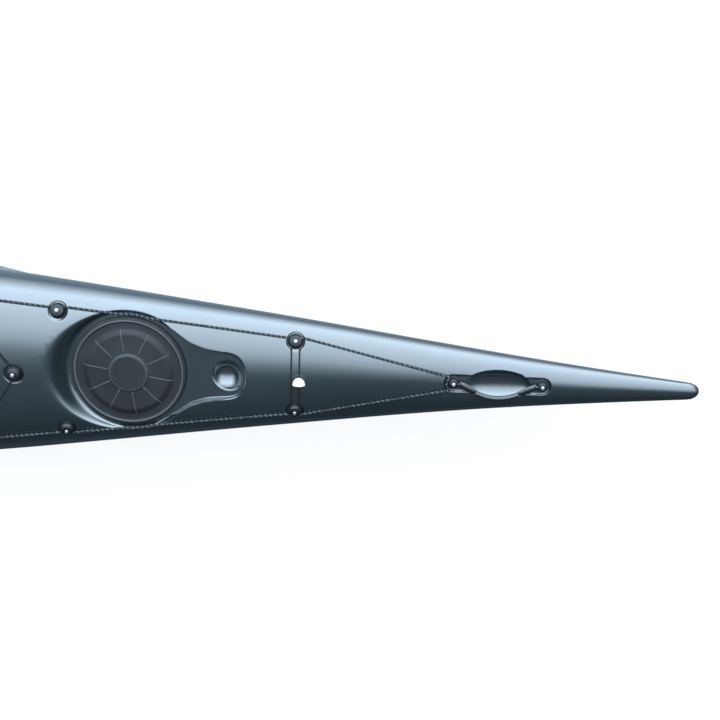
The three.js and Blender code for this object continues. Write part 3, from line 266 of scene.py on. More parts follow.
half_beam_line, sheer_line, crown_line, crown_power_line = (
    fair_curve(rows) for rows in (half_beam_rows, sheer_rows, crown_rows, crown_power_rows)
)


def share_at(x):
    return np.clip(0.5 - x / boat_length, 0, 1)


def tip_rise(share):
    near = np.minimum(np.minimum(share, 1 - share) * boat_length / tip_round, 1)
    return 0.2 + 0.8 * np.sqrt(1 - (1 - near) ** 2)


def half_beam_at(x):
    share = share_at(x)
    return half_beam_line(share) * tip_rise(share) * beam / 2


def sheer_at(x):
    return sheer_line(share_at(x)) * deck_top


def plain_deck(x, y):
    """Height of the deck without its recesses."""
    share = share_at(x)
    out = np.minimum(np.abs(y) / half_beam_at(x), 1)
    bow = np.sqrt(np.maximum(1 - out ** crown_power_line(share), 0))
    crown = (crown_line(share) - 0.02 * (1 - tip_rise(share))) * deck_top
    return sheer_at(x) + (crown - sheer_at(x)) * bow


def smoothed(share):
    share = np.clip(share, 0, 1)
    return share * share * (3 - 2 * share)


hatches = {
    "front": {"x": 1.19697, "floor": 0.287, "half": (0.134, 0.134), "moat": 0.026},
    "day": {"x": -0.7803, "floor": 0.262, "half": (0.134, 0.134), "moat": 0},
    "rear": {"x": -1.3872, "floor": 0.262, "half": (0.215, 0.125), "moat": 0},
}
recess_margin = 0.0105
hole_margin = 0.0124
recess_wall = 0.0075
recess_edge = 0.12


def round_turns(count):
    return np.linspace(0, 2 * np.pi, count, endpoint=False)


def oval(centre, half, out=0.0, count=240):
    turns = round_turns(count)
    x = centre[0] + (half[0] + out) * np.cos(turns)
    return np.column_stack((x, centre[1] + (half[1] + out) * np.sin(turns)))


def oval_distance(x, y, centre, half):
    """Distance outside an oval, near enough close to its edge."""
    dx, dy = x - centre[0], y - centre[1]
    ratio = np.sqrt((dx / half[0]) ** 2 + (dy / half[1]) ** 2)
    steepness = np.sqrt((dx / half[0] ** 2) ** 2 + (dy / half[1] ** 2) ** 2)
    return ratio * (ratio - 1) / np.maximum(steepness, 1e-6)


def hatch_recess(x, y, deck, hatch):
    half = [size + recess_margin for size in hatch["half"]]
    beyond = oval_distance(x, y, (hatch["x"], 0), half)
    aft = np.maximum(0, (hatch["x"] - x) / half[0]) ** 2
    wide = recess_wall + hatch["moat"] * aft
    return hatch["floor"] + (deck - hatch["floor"]) * smoothed(beyond / wide + recess_edge)


compass_reach = 0.278
compass_half_width = 0.060
compass_rows = [
    (0.3, 1.95), (0.375, 1.85), (0.44, 1.62), (0.525, 1.33), (0.655, 1.1), (0.78, 1.01), (0.867, 0.96),
    (0.925, 0.86), (0.965, 0.62), (0.99, 0.35),
]
compass_wall = 0.006
compass_grow = 0.0005
compass_start = 0.009
compass_sunk = 0.0055
compass_zone = (1.24, 1.52, 0.16)
dish_radius = 0.037
dish_depth = 0.022
dish_share = 0.824
dish_edge = 0.0022


def compass_outline():
    """The recess seen from above, as a line through its widths, smooth and evenly spaced."""
    hatch_x = hatches["front"]["x"]
    side = [(hatch_x + u * compass_reach, w * compass_half_width) for u, w in compass_rows]
    loop = np.array(side + [(hatch_x + compass_reach, 0)] + [(x, -y) for x, y in reversed(side)])
    lengths = np.concatenate(([0], np.cumsum(np.linalg.norm(np.diff(loop, axis=0), axis=1))))
    even = np.linspace(0, lengths[-1], 361)
    return np.column_stack([softened(np.interp(even, lengths, loop[:, k]), 1, 6) for k in (0, 1)])


compass_line = compass_outline()
along_line = np.gradient(compass_line, axis=0)
compass_normals = np.column_stack((-along_line[:, 1], along_line[:, 0]))
compass_normals /= np.linalg.norm(compass_normals, axis=1)[:, None]


def compass_distance(x, y):
    """Distance outside the compass recess's outline. Aft of its ends, in the hatch recess, it is far inside."""
    points = np.column_stack((np.ravel(x), np.ravel(y)))
    result = np.full(len(points), 1.0)
    low, high, aside = compass_zone
    near = (points[:, 0] > low) & (points[:, 0] < high) & (np.abs(points[:, 1]) < aside)
    found = points[near]
    apart = found[:, None, :] - compass_line[None, :, :]
    i = np.argmin((apart**2).sum(2), axis=1)
    offset = apart[np.arange(len(found)), i]
    signed = np.sign((offset * compass_normals[i]).sum(1)) * np.linalg.norm(offset, axis=1)
    result[near] = np.where(found[:, 0] < compass_line[0, 0], 1.0, signed)
    return result.reshape(np.shape(x))


def compass_floor(x):
    front = hatches["front"]
    start, end = front["x"] + front["half"][0] + compass_start, front["x"] + compass_reach
    fore = plain_deck(end, 0) - compass_sunk
    return front["floor"] + (fore - front["floor"]) * np.maximum(0, (x - start) / (end - start))


def compass_recess(x, y, deck):
    floor = compass_floor(x)
    recess = floor + (deck - floor) * smoothed((compass_distance(x, y) - compass_grow) / compass_wall + 1)
    curve = (dish_radius**2 + dish_depth**2) / (2 * dish_depth)
    dish_x = hatches["front"]["x"] + dish_share * compass_reach
    middle = compass_floor(dish_x) + curve - dish_depth
    squares = curve**2 - (x - dish_x) ** 2 - y**2
    dish = np.where(squares > 0, middle - np.sqrt(np.maximum(squares, 0)), 1)
    return soft_low(recess, dish, dish_edge)


def soft_low(first, second, radius):
    """The lower of two heights, with the edge between them rounded."""
    share = np.clip(0.5 + 0.5 * (second - first) / radius, 0, 1)
    return second + (first - second) * share - radius * share * (1 - share)


handle_spots = {"bow": 2.06754, "stern": -2.06754}
cap_spacing = 0.211
slot_length = 0.253
slot_width = 0.041
slot_depth = 0.006
slot_wall = 0.004
slot_edge = 0.6
scoop_size = (0.158, 0.076, 0.024)
scoop_lift = 0.003
scoop_edge = 0.004


def slot_distance(x, y, spot):
    reach = (slot_length - slot_width) / 2
    past = np.maximum(np.abs(x - spot) - reach, 0)
    return np.hypot(past, y) - slot_width / 2


def handle_recess(x, y, deck, spot):
    ends = [plain_deck(spot + side * cap_spacing / 2, 0) - slot_depth for side in (-1, 1)]
    floor = ends[0] + (ends[1] - ends[0]) * ((x - spot) / cap_spacing + 0.5)
    slot = floor + (deck - floor) * smoothed(slot_distance(x, y, spot) / slot_wall + slot_edge)
    ratio = ((x - spot) / (scoop_size[0] / 2)) ** 2 + (y / (scoop_size[1] / 2)) ** 2
    middle = plain_deck(spot, 0) + scoop_lift
    scoop = np.where(ratio < 1, middle - scoop_size[2] * np.sqrt(np.maximum(1 - ratio, 0)), 1)
    return soft_low(slot, scoop, scoop_edge)


def deck_frame(x, y, sunk=0.0025, probe=0.001):
    """A frame flat on the deck: X forward along it, Y across it and Z square to it."""
    slope_x = (plain_deck(x + probe, y) - plain_deck(x - probe, y)) / (2 * probe)
    slope_y = (plain_deck(x, y + probe) - plain_deck(x, y - probe)) / (2 * probe)
    forward = Vector((1, 0, float(slope_x))).normalized()
    normal = forward.cross(Vector((0, 1, float(slope_y)))).normalized()
    side = normal.cross(forward).normalized()
    spot = Vector((x, y, float(plain_deck(x, y)))) - normal * sunk
    turned = Matrix((forward, side, normal)).transposed().to_4x4()
    return Matrix.Translation(spot) @ turned


fitting_spots = {
    "foredeck_centre": (0.943, 0), "front": (1.0455, 0.1465), "bow": (1.5871, 0.0875),
    "foredeck": (0.8364, 0.166), "cockpit": (0.4386, 0.195), "reardeck": (-0.5865, 0.176),
    "stern": (-1.0965, 0.158),
}
fitting_frames = {}
for fitting_name, (fitting_x, fitting_y) in fitting_spots.items():
    if fitting_y:
        fitting_frames[fitting_name + "_port"] = deck_frame(fitting_x, fitting_y)
        fitting_frames[fitting_name + "_starboard"] = deck_frame(fitting_x, -fitting_y)
    else:
        fitting_frames[fitting_name] = deck_frame(fitting_x, 0)
seat_radius = 0.0212
slider_frame = deck_frame(-0.02537, 0.22686)
slider_flat = (0.0672, 0.0122)
flat_wall = 0.0035
flat_reach = 0.01


def flat_seat(x, y, deck, place, beyond):
    """A shallow moulded flat, at the height of the frame that stands on it."""
    normal = place.to_3x3().col[2]
    spot = place.translation
    floor = spot.z - ((x - spot.x) * normal.x + (y - spot.y) * normal.y) / normal.z
    return np.minimum(deck, floor + (deck - floor) * smoothed(beyond / flat_wall + 0.5))


def deck_height(x, y):
    """Height of the deck with every recess in it."""
    deck = plain_deck(x, y)
    heights = [deck]
    heights += [hatch_recess(x, y, deck, hatch) for hatch in hatches.values()]
    heights.append(compass_recess(x, y, deck))
    heights += [handle_recess(x, y, deck, spot) for spot in handle_spots.values()]
    flats = [
        (place, np.hypot(x - place.translation.x, y - place.translation.y) - seat_radius)
        for place in fitting_frames.values()
    ]
    along, across = (np.abs(a - spot) for a, spot in zip((x, y), slider_frame.translation))
    flats.append((slider_frame, np.maximum(along - slider_flat[0], across - slider_flat[1])))
    for place, beyond in flats:
        heights.append(np.where(beyond < flat_reach, flat_seat(x, y, deck, place, beyond), deck))
    return np.minimum.reduce(heights)


def slot_outline(spot, out):
    """The slot's outline seen from above, grown by a distance."""
    reach, radius = (slot_length - slot_width) / 2, slot_width / 2 + out
    turns = np.linspace(-np.pi / 2, np.pi / 2, 28)
    straight = np.linspace(-reach, reach, 62)[1:-1]
    fore = np.column_stack((reach + radius * np.cos(turns), radius * np.sin(turns)))
    port = np.column_stack((straight[::-1], np.full(len(straight), radius)))
    half = np.concatenate((fore, port))
    return np.concatenate((half, -half)) + (spot, 0)


cockpit_middle = -0.0255
cockpit_length = 0.8
cockpit_width = 0.39
cockpit_egg = 0.22


def cockpit_outline(out=0.0, count=200):
    turns = round_turns(count)
    x = cockpit_middle + (cockpit_length / 2 + out) * np.cos(turns)
    y = (cockpit_width / 2 * (1 - cockpit_egg * np.cos(turns)) + out) * np.sin(turns)
    return np.column_stack((x, y))


recess_offsets = (-0.004, -0.0025, -0.0009, 0.0006, 0.0018, 0.003, 0.0042, 0.0054, 0.0066, 0.0085, 0.012)
deck_rings = []
for hatch in hatches.values():
    spot, grown = (hatch["x"], 0), [size + recess_margin for size in hatch["half"]]
    outline = oval(spot, grown)
    for offset in recess_offsets:
        ring = oval(spot, grown, offset)
        aft = np.maximum(0, (spot[0] - ring[:, 0]) / grown[0]) ** 2
        widened = 1 + (hatch["moat"] / recess_wall) * aft
        deck_rings.append(outline + (ring - outline) * widened[:, None])
    for inward in (hole_margin, hole_margin - 0.006):
        deck_rings.append(oval(spot, hatch["half"], -inward))
for offset in (-0.012, -0.0085, -0.0062, -0.005, -0.004, -0.003, -0.002, -0.001, 0.0002, 0.0015, 0.005):
    deck_rings.append(compass_line + compass_normals * offset)
dish_spot = (hatches["front"]["x"] + dish_share * compass_reach, 0)
for radius in (0.01, 0.018, 0.025, 0.03, 0.0335, 0.0355, 0.037, 0.0385, 0.041):
    deck_rings.append(oval(dish_spot, (radius, radius), count=80))
for spot in handle_spots.values():
    for offset in (-0.008, -0.004, -0.0022, -0.0012, -0.0002, 0.0008, 0.0018, 0.004):
        deck_rings.append(slot_outline(spot, offset))
    for share in (0.2, 0.4, 0.6, 0.75, 0.86, 0.93, 0.97, 0.99, 1.01, 1.05):
        deck_rings.append(oval((spot, 0), (scoop_size[0] / 2 * share, scoop_size[1] / 2 * share), count=120))
for place in fitting_frames.values():
    for radius in (0.012, 0.0182, 0.0195, 0.0206, 0.0216, 0.0228, 0.025):
        deck_rings.append(oval(place.translation, (radius, radius), count=44))
for grow in (-0.004, -0.0018, -0.0006, 0.0006, 0.0018, 0.004):
    a, b = slider_flat[0] + grow, slider_flat[1] + grow
    half_ring = np.concatenate((
        np.linspace((-a, -b), (a, -b), 40)[:-1], np.linspace((a, -b), (a, b), 10)[:-1],
    ))
    deck_rings.append(np.concatenate((half_ring, -half_ring)) + slider_frame.translation[:2])
for out in (0, 0.012, 0.03):
    deck_rings.append(cockpit_outline(out))

tip_share = 0.035
station_gap = 0.012
half_length = boat_length / 2
stations = 0.5 * (1 - np.cos(np.linspace(0, np.pi, 61)))
tip_stations = stations[stations < tip_share] * half_length
even_end = half_length - tip_stations[-1] - station_gap
middle = np.linspace(even_end, -even_end, 400)
station_places = np.concatenate((half_length - tip_stations, middle, -half_length + tip_stations[::-1]))
across_shares = np.sin(np.linspace(-np.pi / 2, np.pi / 2, 41))

grid_x = np.repeat(station_places, len(across_shares))
grid_y = half_beam_at(grid_x) * np.tile(across_shares, len(station_places))


def inside(points, loop):
    """Which points lie inside a closed line, seen from above."""
    x, y = points[:, 0][:, None], points[:, 1][:, None]
    start, end = loop, np.roll(loop, -1, axis=0)
    crosses = (start[:, 1] > y) != (end[:, 1] > y)
    rise = np.where(end[:, 1] == start[:, 1], 1, end[:, 1] - start[:, 1])
    meets = start[:, 0] + (y - start[:, 1]) * (end[:, 0] - start[:, 0]) / rise
    return (crosses & (x < meets)).sum(1) % 2 == 1


def nearest_of(points):
    """A tree that finds the nearest of some points seen from above."""
    tree = KDTree(len(points))
    for index, (x, y) in enumerate(points):
        tree.insert((x, y, 0), index)
    tree.balance()
    return tree


def new_piece(name, vertices, faces, edges=()):
    mesh = bpy.data.meshes.new(name)
    mesh.from_pydata([tuple(map(float, v)) for v in vertices], edges, [tuple(map(int, f)) for f in faces])
    mesh.polygons.foreach_set("use_smooth", [True] * len(mesh.polygons))
    piece = bpy.data.objects.new(name, mesh)
    bpy.context.scene.collection.objects.link(piece)
    return piece


def choose(*pieces):
    """Select these pieces alone, the first of them active."""
    bpy.ops.object.select_all(action="DESELECT")
    for piece in pieces:
        piece.select_set(True)
    bpy.context.view_layer.objects.active = pieces[0]


def modified(piece, kind, **settings):
    """Give a piece a modifier with these settings, and apply it."""
    modifier = piece.modifiers.new(kind.lower(), kind)
    for name, value in settings.items():
        setattr(modifier, name, value)
    choose(piece)
    bpy.ops.object.modifier_apply(modifier=modifier.name)


def shaded(piece, degrees):
    """Shade a piece smooth but for its edges that are sharper than an angle."""
    choose(piece)
    bpy.ops.object.shade_smooth_by_angle(angle=math.radians(degrees))


def walled(piece, thickness, *finishes):
    """Give a skin its wall, inward from its outer face, and a material for each side."""
    for finish in finishes:
        piece.data.materials.append(finish.owner)
    modified(piece, "SOLIDIFY", thickness=thickness, offset=-1, material_offset=1)
    shaded(piece, 50)


bow_flare = 0.34
flare_start, flare_whole = 0.68, 1.04
edge_tuck = 0.003
skirt_tuck = 0.005
ring_clear = 0.0045


def flared_at(x):
    """How far the bow's sides lean inward at a station."""
    return smoothed((x - flare_start) / (flare_whole - flare_start))


outline_grid = np.column_stack((grid_x, grid_y)).reshape(len(station_places), len(across_shares), 2)
deck_outline = np.concatenate((
    outline_grid[:, -1], outline_grid[-1, -2::-1], outline_grid[-2::-1, 0], outline_grid[0, 1:-1],
))
ring_tree = nearest_of(np.concatenate(deck_rings))
inner_grid = outline_grid[1:-1, 1:-1].reshape(-1, 2)
clear = np.array([ring_tree.find((x, y, 0))[2] > ring_clear for x, y in inner_grid])
plan, plan_edges = [], []
for ring in [deck_outline, *deck_rings]:
    start = len(plan)
    plan += [Vector(point) for point in ring.tolist()]
    plan_edges += [(start + i, start + (i + 1) % len(ring)) for i in range(len(ring))]
plan += [Vector(point) for point in inner_grid[clear].tolist()]
flat_points, _, flat_faces, *_ = geometry.delaunay_2d_cdt(plan, plan_edges, [], 1, 1e-6)
flat_points = np.array([point[:] for point in flat_points])
flat_faces = np.array(flat_faces)
centres = flat_points[flat_faces].mean(1)
open_places = inside(centres, cockpit_outline())
for hatch in hatches.values():
    open_places |= inside(centres, oval((hatch["x"], 0), hatch["half"], -hole_margin))
flat_faces = flat_faces[~open_places]
facing = np.cross(
    flat_points[flat_faces[:, 1]] - flat_points[flat_faces[:, 0]],
    flat_points[flat_faces[:, 2]] - flat_points[flat_faces[:, 0]],
)
flat_faces[facing < 0] = flat_faces[facing < 0][:, ::-1]
used, flat_faces = np.unique(flat_faces, return_inverse=True)
flat_points, flat_faces = flat_points[used], flat_faces.reshape(-1, 3)
deck_points = np.column_stack((flat_points, deck_height(flat_points[:, 0], flat_points[:, 1])))

edge_tree = nearest_of(flat_points)
edge_ids = [edge_tree.find((x, y, 0))[1] for x, y in deck_outline]
edge_x, edge_y, edge_z = deck_points[edge_ids].T
seam_z = sheer_at(edge_x) - seam_drop - seam_lap
tucked = skirt_tuck + edge_tuck * flared_at(edge_x) / half_beam_at(edge_x)
mid_skirt = np.column_stack((edge_x, edge_y * (1 - 0.3 * tucked), 0.5 * (edge_z + seam_z)))
low_skirt = np.column_stack((edge_x, edge_y * (1 - tucked), seam_z))
count, around = len(deck_points), len(edge_ids)
rows = [edge_ids, list(range(count, count + around)), list(range(count + around, count + 2 * around))]
skirt = []
for upper, lower in zip(rows, rows[1:]):
    for i in range(around):
        j = (i + 1) % around
        skirt.append((upper[i], lower[i], lower[j], upper[j]))
deck = new_piece("deck_moulding", np.concatenate((deck_points, mid_skirt, low_skirt)), flat_faces.tolist() + skirt)


shell = new_finish("glossy_shell")
cloudy = shell.noise(2.2, 4, 0.55)
shell_stops = [(0.3, (0.0085, 0.0145, 0.017)), (0.7, (0.013, 0.02, 0.023))]
shell_color = shell.node("ShaderNodeValToRGB", {"stops": shell_stops}, {0: cloudy})
scuffs = shell.noise(34, 6, 0.7, (1, 9, 9), 0.6).between(0.6, 0.78)
ripple = shell.noise(7, 3, 0.45)
orange_peel = shell.noise(260, 2, 0.5)
shell.surface(
    Base_Color=shell_color, Roughness=0.17 + scuffs * 0.07, IOR=1.85,
    Normal=shell.bump(ripple + orange_peel * 0.02, 0.00045),
    Coat_Weight=1.0, Coat_Roughness=0.13, Coat_IOR=1.75,
)
raw_inside = new_finish("raw_inside")
inside_cloud = raw_inside.noise(5, 4, 0.6)
inside_color = raw_inside.mixed(inside_cloud, (0.011, 0.018, 0.021, 1), (0.018, 0.028, 0.032, 1))
raw_inside.grained(inside_color, raw_inside.noise(160, 4, 0.6), 0.55, 0.15, 0.0002)
walled(deck, deck_wall, shell, raw_inside)
for point in deck.data.vertices:
    point.co.x = max(point.co.x, -boat_length / 2)
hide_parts("deck_shell")
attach(deck, "boat")


# The hull: the lower half of the shell, the same glossy plastic 5.5 mm thick. It is flat along the middle
# of the keel, where a slot lets the skeg out. Toward the bow its sides lean inward and its keel rises.
hull_wall = 0.0055
keel_rows = [
    (0, 0.87), (0.004, 0.76), (0.012, 0.6), (0.03, 0.355), (0.06, 0.18), (0.1, 0.082), (0.16, 0.026),
    (0.24, 0.0035), (0.3, 0), (0.7, 0), (0.78, 0.007), (0.86, 0.035), (0.92, 0.093), (0.96, 0.205),
    (0.985, 0.38), (0.996, 0.6), (1, 0.77),
]
fullness_rows = [
    (0, 0), (0.08, 0.1), (0.2, 0.5), (0.32, 0.9), (0.38, 1), (0.62, 1), (0.7, 0.9), (0.8, 0.55),
    (0.92, 0.12), (1, 0),
]
full_section = [
    (0, 0), (0.3, 0), (0.62, 0.06), (0.82, 0.17), (0.92, 0.34), (0.965, 0.58), (0.99, 0.8), (0.995, 1),
]
fine_section = [
    (0, 0), (0.06, 0), (0.22, 0.15), (0.42, 0.35), (0.6, 0.55), (0.77, 0.74), (0.91, 0.9), (0.995, 1),
]
keel_line = fair_curve(keel_rows, 0)
fullness_line = fair_curve(fullness_rows)
section_places = np.linspace(0, 1, 24)
keel_half = 0.003
full_side, fine_side = (
    [
        fair_curve([(i / (len(section) - 1), point[k]) for i, point in enumerate(section)], 0)(section_places)
        for k in (0, 1)
    ]
    for section in (full_section, fine_section)
)


def hull_point(x):
    """Points of the hull's section at a station, from the keel up to the seam. The bow's sides lean inward."""
    full = fullness_line(share_at(x))
    y = (fine_side[0] + (full_side[0] - fine_side[0]) * full) * half_beam_at(x)
    keel, seam = keel_line(share_at(x)) * deck_top, sheer_at(x) - seam_drop + seam_lap
    flared, top = flared_at(x), 0.995 * half_beam_at(x) - edge_tuck
    short = seam - top / bow_flare - keel
    eased = 0.3 * min(top / bow_flare, seam - keel)
    keel += flared * 0.5 * (short + math.hypot(short, eased))
    z = keel + (fine_side[1] + (full_side[1] - fine_side[1]) * full) * (seam - keel)
    widest = np.maximum(top - bow_flare * (seam - z), 0) + keel_half * (seam - z) / (seam - keel)
    return y + flared * (np.minimum(y, widest) - y), z


hull_points = []
for x in station_places:
    y, z = hull_point(x)
    ring = [(x, -b, c) for b, c in zip(y[::-1], z[::-1])] + [(x, b, c) for b, c in zip(y[1:], z[1:])]
    hull_points += ring
per_ring = 2 * len(section_places) - 1
hull_faces = []
for i in range(len(station_places) - 1):
    for j in range(per_ring - 1):
        a, b = i * per_ring + j, (i + 1) * per_ring + j
        hull_faces.append((a, b, b + 1, a + 1))
last_ring = (len(station_places) - 1) * per_ring
hull_faces.append(tuple(range(per_ring)))
hull_faces.append(tuple(last_ring + i for i in reversed(range(per_ring))))
hull = new_piece("hull_moulding", hull_points, hull_faces)
slot_ends = (-2.0062, -1.6942)
slot_half = 0.006
choose(hull)
bpy.ops.object.mode_set(mode="EDIT")
for place, normal in (
    ((slot_ends[0], 0, 0), (1, 0, 0)), ((slot_ends[1], 0, 0), (1, 0, 0)),
    ((0, slot_half, 0), (0, 1, 0)), ((0, -slot_half, 0), (0, 1, 0)),
):
    bpy.ops.mesh.select_all(action="SELECT")
    bpy.ops.mesh.bisect(plane_co=place, plane_no=normal)
bpy.ops.mesh.select_mode(type="FACE")
bpy.ops.mesh.select_all(action="DESELECT")
bpy.ops.object.mode_set(mode="OBJECT")
for face in hull.data.polygons:
    x, y, z = face.center
    face.select = slot_ends[0] < x < slot_ends[1] and abs(y) < slot_half and z < 0.06
bpy.ops.object.mode_set(mode="EDIT")
bpy.ops.mesh.delete(type="FACE")
bpy.ops.object.mode_set(mode="OBJECT")
walled(hull, hull_wall, shell, raw_inside)
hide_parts("hull_shell")
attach(hull, "boat")


# The hatch covers: soft black rubber caps, moulded in one, that snap over a ring in the deck. Each has a
# bead round its edge, a groove, a sloping wall, ten thin ribs, a raised hub and a pull tab.
cover_height = 0.0185
cover_lap = 0.0124
plug_start = 0.0226
plug_wall = 0.008
cover_under = [
    (plug_start + plug_wall + 0.012, 0.46 * cover_height), (plug_start + plug_wall, -0.004),
    (plug_start, -0.004), (plug_start, 0.0054), (cover_lap, 0.0054), (cover_lap, 0.0004), (0.0008, 0.0004),
]
cover_top = [
    (0.0001, 0.0012), (0, 0.0046), (0.0005, 0.0066), (0.0015, 0.0081), (0.003, 0.009), (0.0055, 0.0093),
    (0.0072, 0.0094), (0.008, 0.0104), (0.0092, 0.0108), (0.0103, 0.0104), (0.0112, 0.0093), (0.0126, 0.0086),
    (0.015, 0.0085), (0.028, 0.0085), (0.0295, 0.0089), (0.031, 0.0099), (0.039, 0.0136), (0.041, 0.0143),
    (0.043, 0.0145), (0.085, 0.0145), (0.0868, 0.0149), (0.0882, 0.0164), (0.0894, 0.0178), (0.0908, 0.0184),
    (0.095, 0.0185), (0.11, 0.0185),
]
rib_count = 10
rib_angle = 0.45
rib_path = [
    (0.0275, 0.0082), (0.0305, 0.0104), (0.039, 0.0146), (0.043, 0.0158), (0.078, 0.0158), (0.0865, 0.0163),
]
rib_half = 0.0013
rib_end_foot, rib_foot, rib_shoulder = 0.0004, 0.0034, 0.0006
tab_angle = 3.42
tab_size = (0.0105, 0.03, 0.005)
tab_lift = 0.0029
# Pale bands on the cover's top, at the bead round its edge and at the hub's edge: rubbed wear and a painted
# highlight.
wear_and_highlight_bands = [(0.0075, 0.0105, 0.75), (0.0868, 0.091, 0.3)]


def faced_out(piece):
    """Turn all the faces of a closed piece outward."""
    choose(piece)
    bpy.ops.object.mode_set(mode="EDIT")
    bpy.ops.mesh.select_all(action="SELECT")
    bpy.ops.mesh.normals_make_consistent(inside=False)
    bpy.ops.object.mode_set(mode="OBJECT")


def ringed(name, rings, close_round=False, caps=False):
    """A skin through rings of points, each as long as the last."""
    rings = [np.asarray(ring, float) for ring in rings]
    around = len(rings[0])
    pairs = list(range(len(rings))) + ([0] if close_round else [])
    faces = []
    for low, high in zip(pairs, pairs[1:]):
        for i in range(around):
            j = (i + 1) % around
            faces.append((low * around + i, low * around + j, high * around + j, high * around + i))
    if caps:
        faces.append(tuple(reversed(range(around))))
        faces.append(tuple((len(rings) - 1) * around + i for i in range(around)))
    piece = new_piece(name, np.concatenate(rings), faces)
    faced_out(piece)
    return piece


def block(size, place, turn):
    """A block of a size, set down at a place and turned about Z."""
    bpy.ops.object.select_all(action="DESELECT")
    bpy.ops.mesh.primitive_cube_add(size=1, location=place, rotation=(0, 0, turn))
    piece = bpy.context.object
    piece.scale = size
    bpy.ops.object.transform_apply(location=True, rotation=True, scale=True)
    return piece


def joined(name, pieces):
    choose(*pieces)
    bpy.ops.object.join()
    whole = bpy.context.object
    whole.name = whole.data.name = name
    return whole


def finished(piece, material, slot, body, *nodes):
    """Give a piece its material, the CAD nodes it stands for and the body it rides on. The slot is not used."""
    piece.data.materials.clear()
    piece.data.materials.append(material.owner)
    if nodes:
        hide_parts(*nodes)
    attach(piece, body)
    return piece


def marked(piece, shares):
    """Where a piece is made pale, by rubbed wear and a painted highlight, as a share at each of its points."""
    layer = piece.data.attributes.new("rubbed", "FLOAT", "POINT")
    layer.data.foreach_set("value", np.asarray(shares, np.float32))


def cover_ring(hatch, inward, up, count):
    ring = oval((hatch["x"], 0), hatch["half"], -inward, count)
    return np.column_stack((ring, np.full(count, hatch["floor"] + up)))


def cover_rib(hatch, angle):
    """One rib from the groove up the wall and over the top to the hub."""
    across = np.array((-math.sin(angle), math.cos(angle)))
    rings = []
    for step, (inward, up) in enumerate(rib_path):
        reach = np.array((hatch["half"][0] - inward, hatch["half"][1] - inward))
        middle = np.array((hatch["x"], 0)) + reach * (math.cos(angle), math.sin(angle))
        foot = up - (rib_end_foot if step in (0, len(rib_path) - 1) else rib_foot)
        shoulder = up - rib_shoulder
        section = [(-1, foot), (-1, shoulder), (-0.55, up), (0.55, up), (1, shoulder), (1, foot)]
        rings.append([(*(middle + across * rib_half * side), hatch["floor"] + z) for side, z in section])
    return ringed("rib", rings, caps=True)


rubber = new_finish("cover_rubber")
# The rubber turns pale grey where it is marked: rubbed wear and a painted highlight on the bead, the hub's edge and
# the rib tops.
rubbed = rubber.node("ShaderNodeAttribute", {"attribute_name": "rubbed"}, output="Fac")
dusty = rubber.noise(9, 4, 0.6).between(0.42, 0.7)
rubber_dark = rubber.mixed(dusty, (0.008, 0.0085, 0.009, 1), (0.014, 0.0145, 0.0155, 1))
rubber_color = rubber.mixed(rubbed, rubber_dark, (0.11, 0.115, 0.12, 1))
rubber.grained(rubber_color, rubber.noise(90, 5, 0.65), 0.5, 0.16, 0.00016, IOR=1.5)

for hatch_name, hatch in hatches.items():
    count = 160
    rings = [cover_ring(hatch, inward, up, count) for inward, up in cover_under + cover_top]
    skin = ringed("cover_skin", rings, caps=True)
    # A share of rubbed wear and painted highlight for each ring of the skin.
    wear_and_highlight_shares = [0.0] * len(cover_under)
    wear_and_highlight_shares += [sum(share for low, high, share in wear_and_highlight_bands if low < inward < high) for inward, _ in cover_top]
    marked(skin, np.repeat(wear_and_highlight_shares, count))
    pieces = [skin]
    for turn in range(rib_count):
        rib = cover_rib(hatch, rib_angle + turn * 2 * math.pi / rib_count)
        # The ribs are paler on their tops than on their sides and feet: a painted highlight as well as rubbed wear.
        marked(rib, np.tile([0, 0.35, 0.6, 0.6, 0.35, 0], len(rib_path)))
        pieces.append(rib)
    half_x, half_y = hatch["half"]
    ahead, aside = math.cos(tab_angle), math.sin(tab_angle)
    tab_place = (hatch["x"] + half_x * ahead, half_y * aside, hatch["floor"] + tab_lift)
    tab = block(tab_size, tab_place, math.atan2(aside / half_y, ahead / half_x))
    modified(tab, "BEVEL", width=0.0018, segments=3)
    marked(tab, [0.12] * len(tab.data.vertices))
    pieces.append(tab)
    cover = joined(hatch_name + "_cover", pieces)
    finished(cover, rubber, "black_rubber", hatch_name + "_cover", hatch_name + "_hatch_cover")


# The deck fittings: low black plastic domes, each screwed down to the deck with a bright steel pan-head
# screw. The deck lines and bungees run through them. The carry handles' caps are a smaller kind.
dome_rows = [
    (0, 0.0004), (0.0185, 0.0004), (0.0185, 0.0034), (0.0182, 0.0045), (0.0174, 0.0057), (0.0149, 0.0095),
    (0.014, 0.0104), (0.0128, 0.0109), (0.0082, 0.0122), (0.0074, 0.0124), (0.0066, 0.0122), (0.006, 0.0116),
    (0, 0.0116),
]
cap_rows = [
    (0, 0.0004), (0.0145, 0.0004), (0.0145, 0.0048), (0.0143, 0.0062), (0.0136, 0.0075), (0.0117, 0.0107),
    (0.0109, 0.0117), (0.0096, 0.0124), (0.0072, 0.0131), (0.0064, 0.0133), (0.0058, 0.0131), (0.0054, 0.0126),
    (0, 0.0126),
]
head_rows = [
    (0, -0.0006), (0.0048, -0.0006), (0.005, 0.0002), (0.0049, 0.001), (0.0042, 0.0019), (0.003, 0.0024),
    (0.0016, 0.00255), (0, 0.0026),
]
cross_size, cross_rise = (0.0056, 0.0013, 0.0026), 0.0026
dome_seat, cap_seat = 0.0124, 0.0132


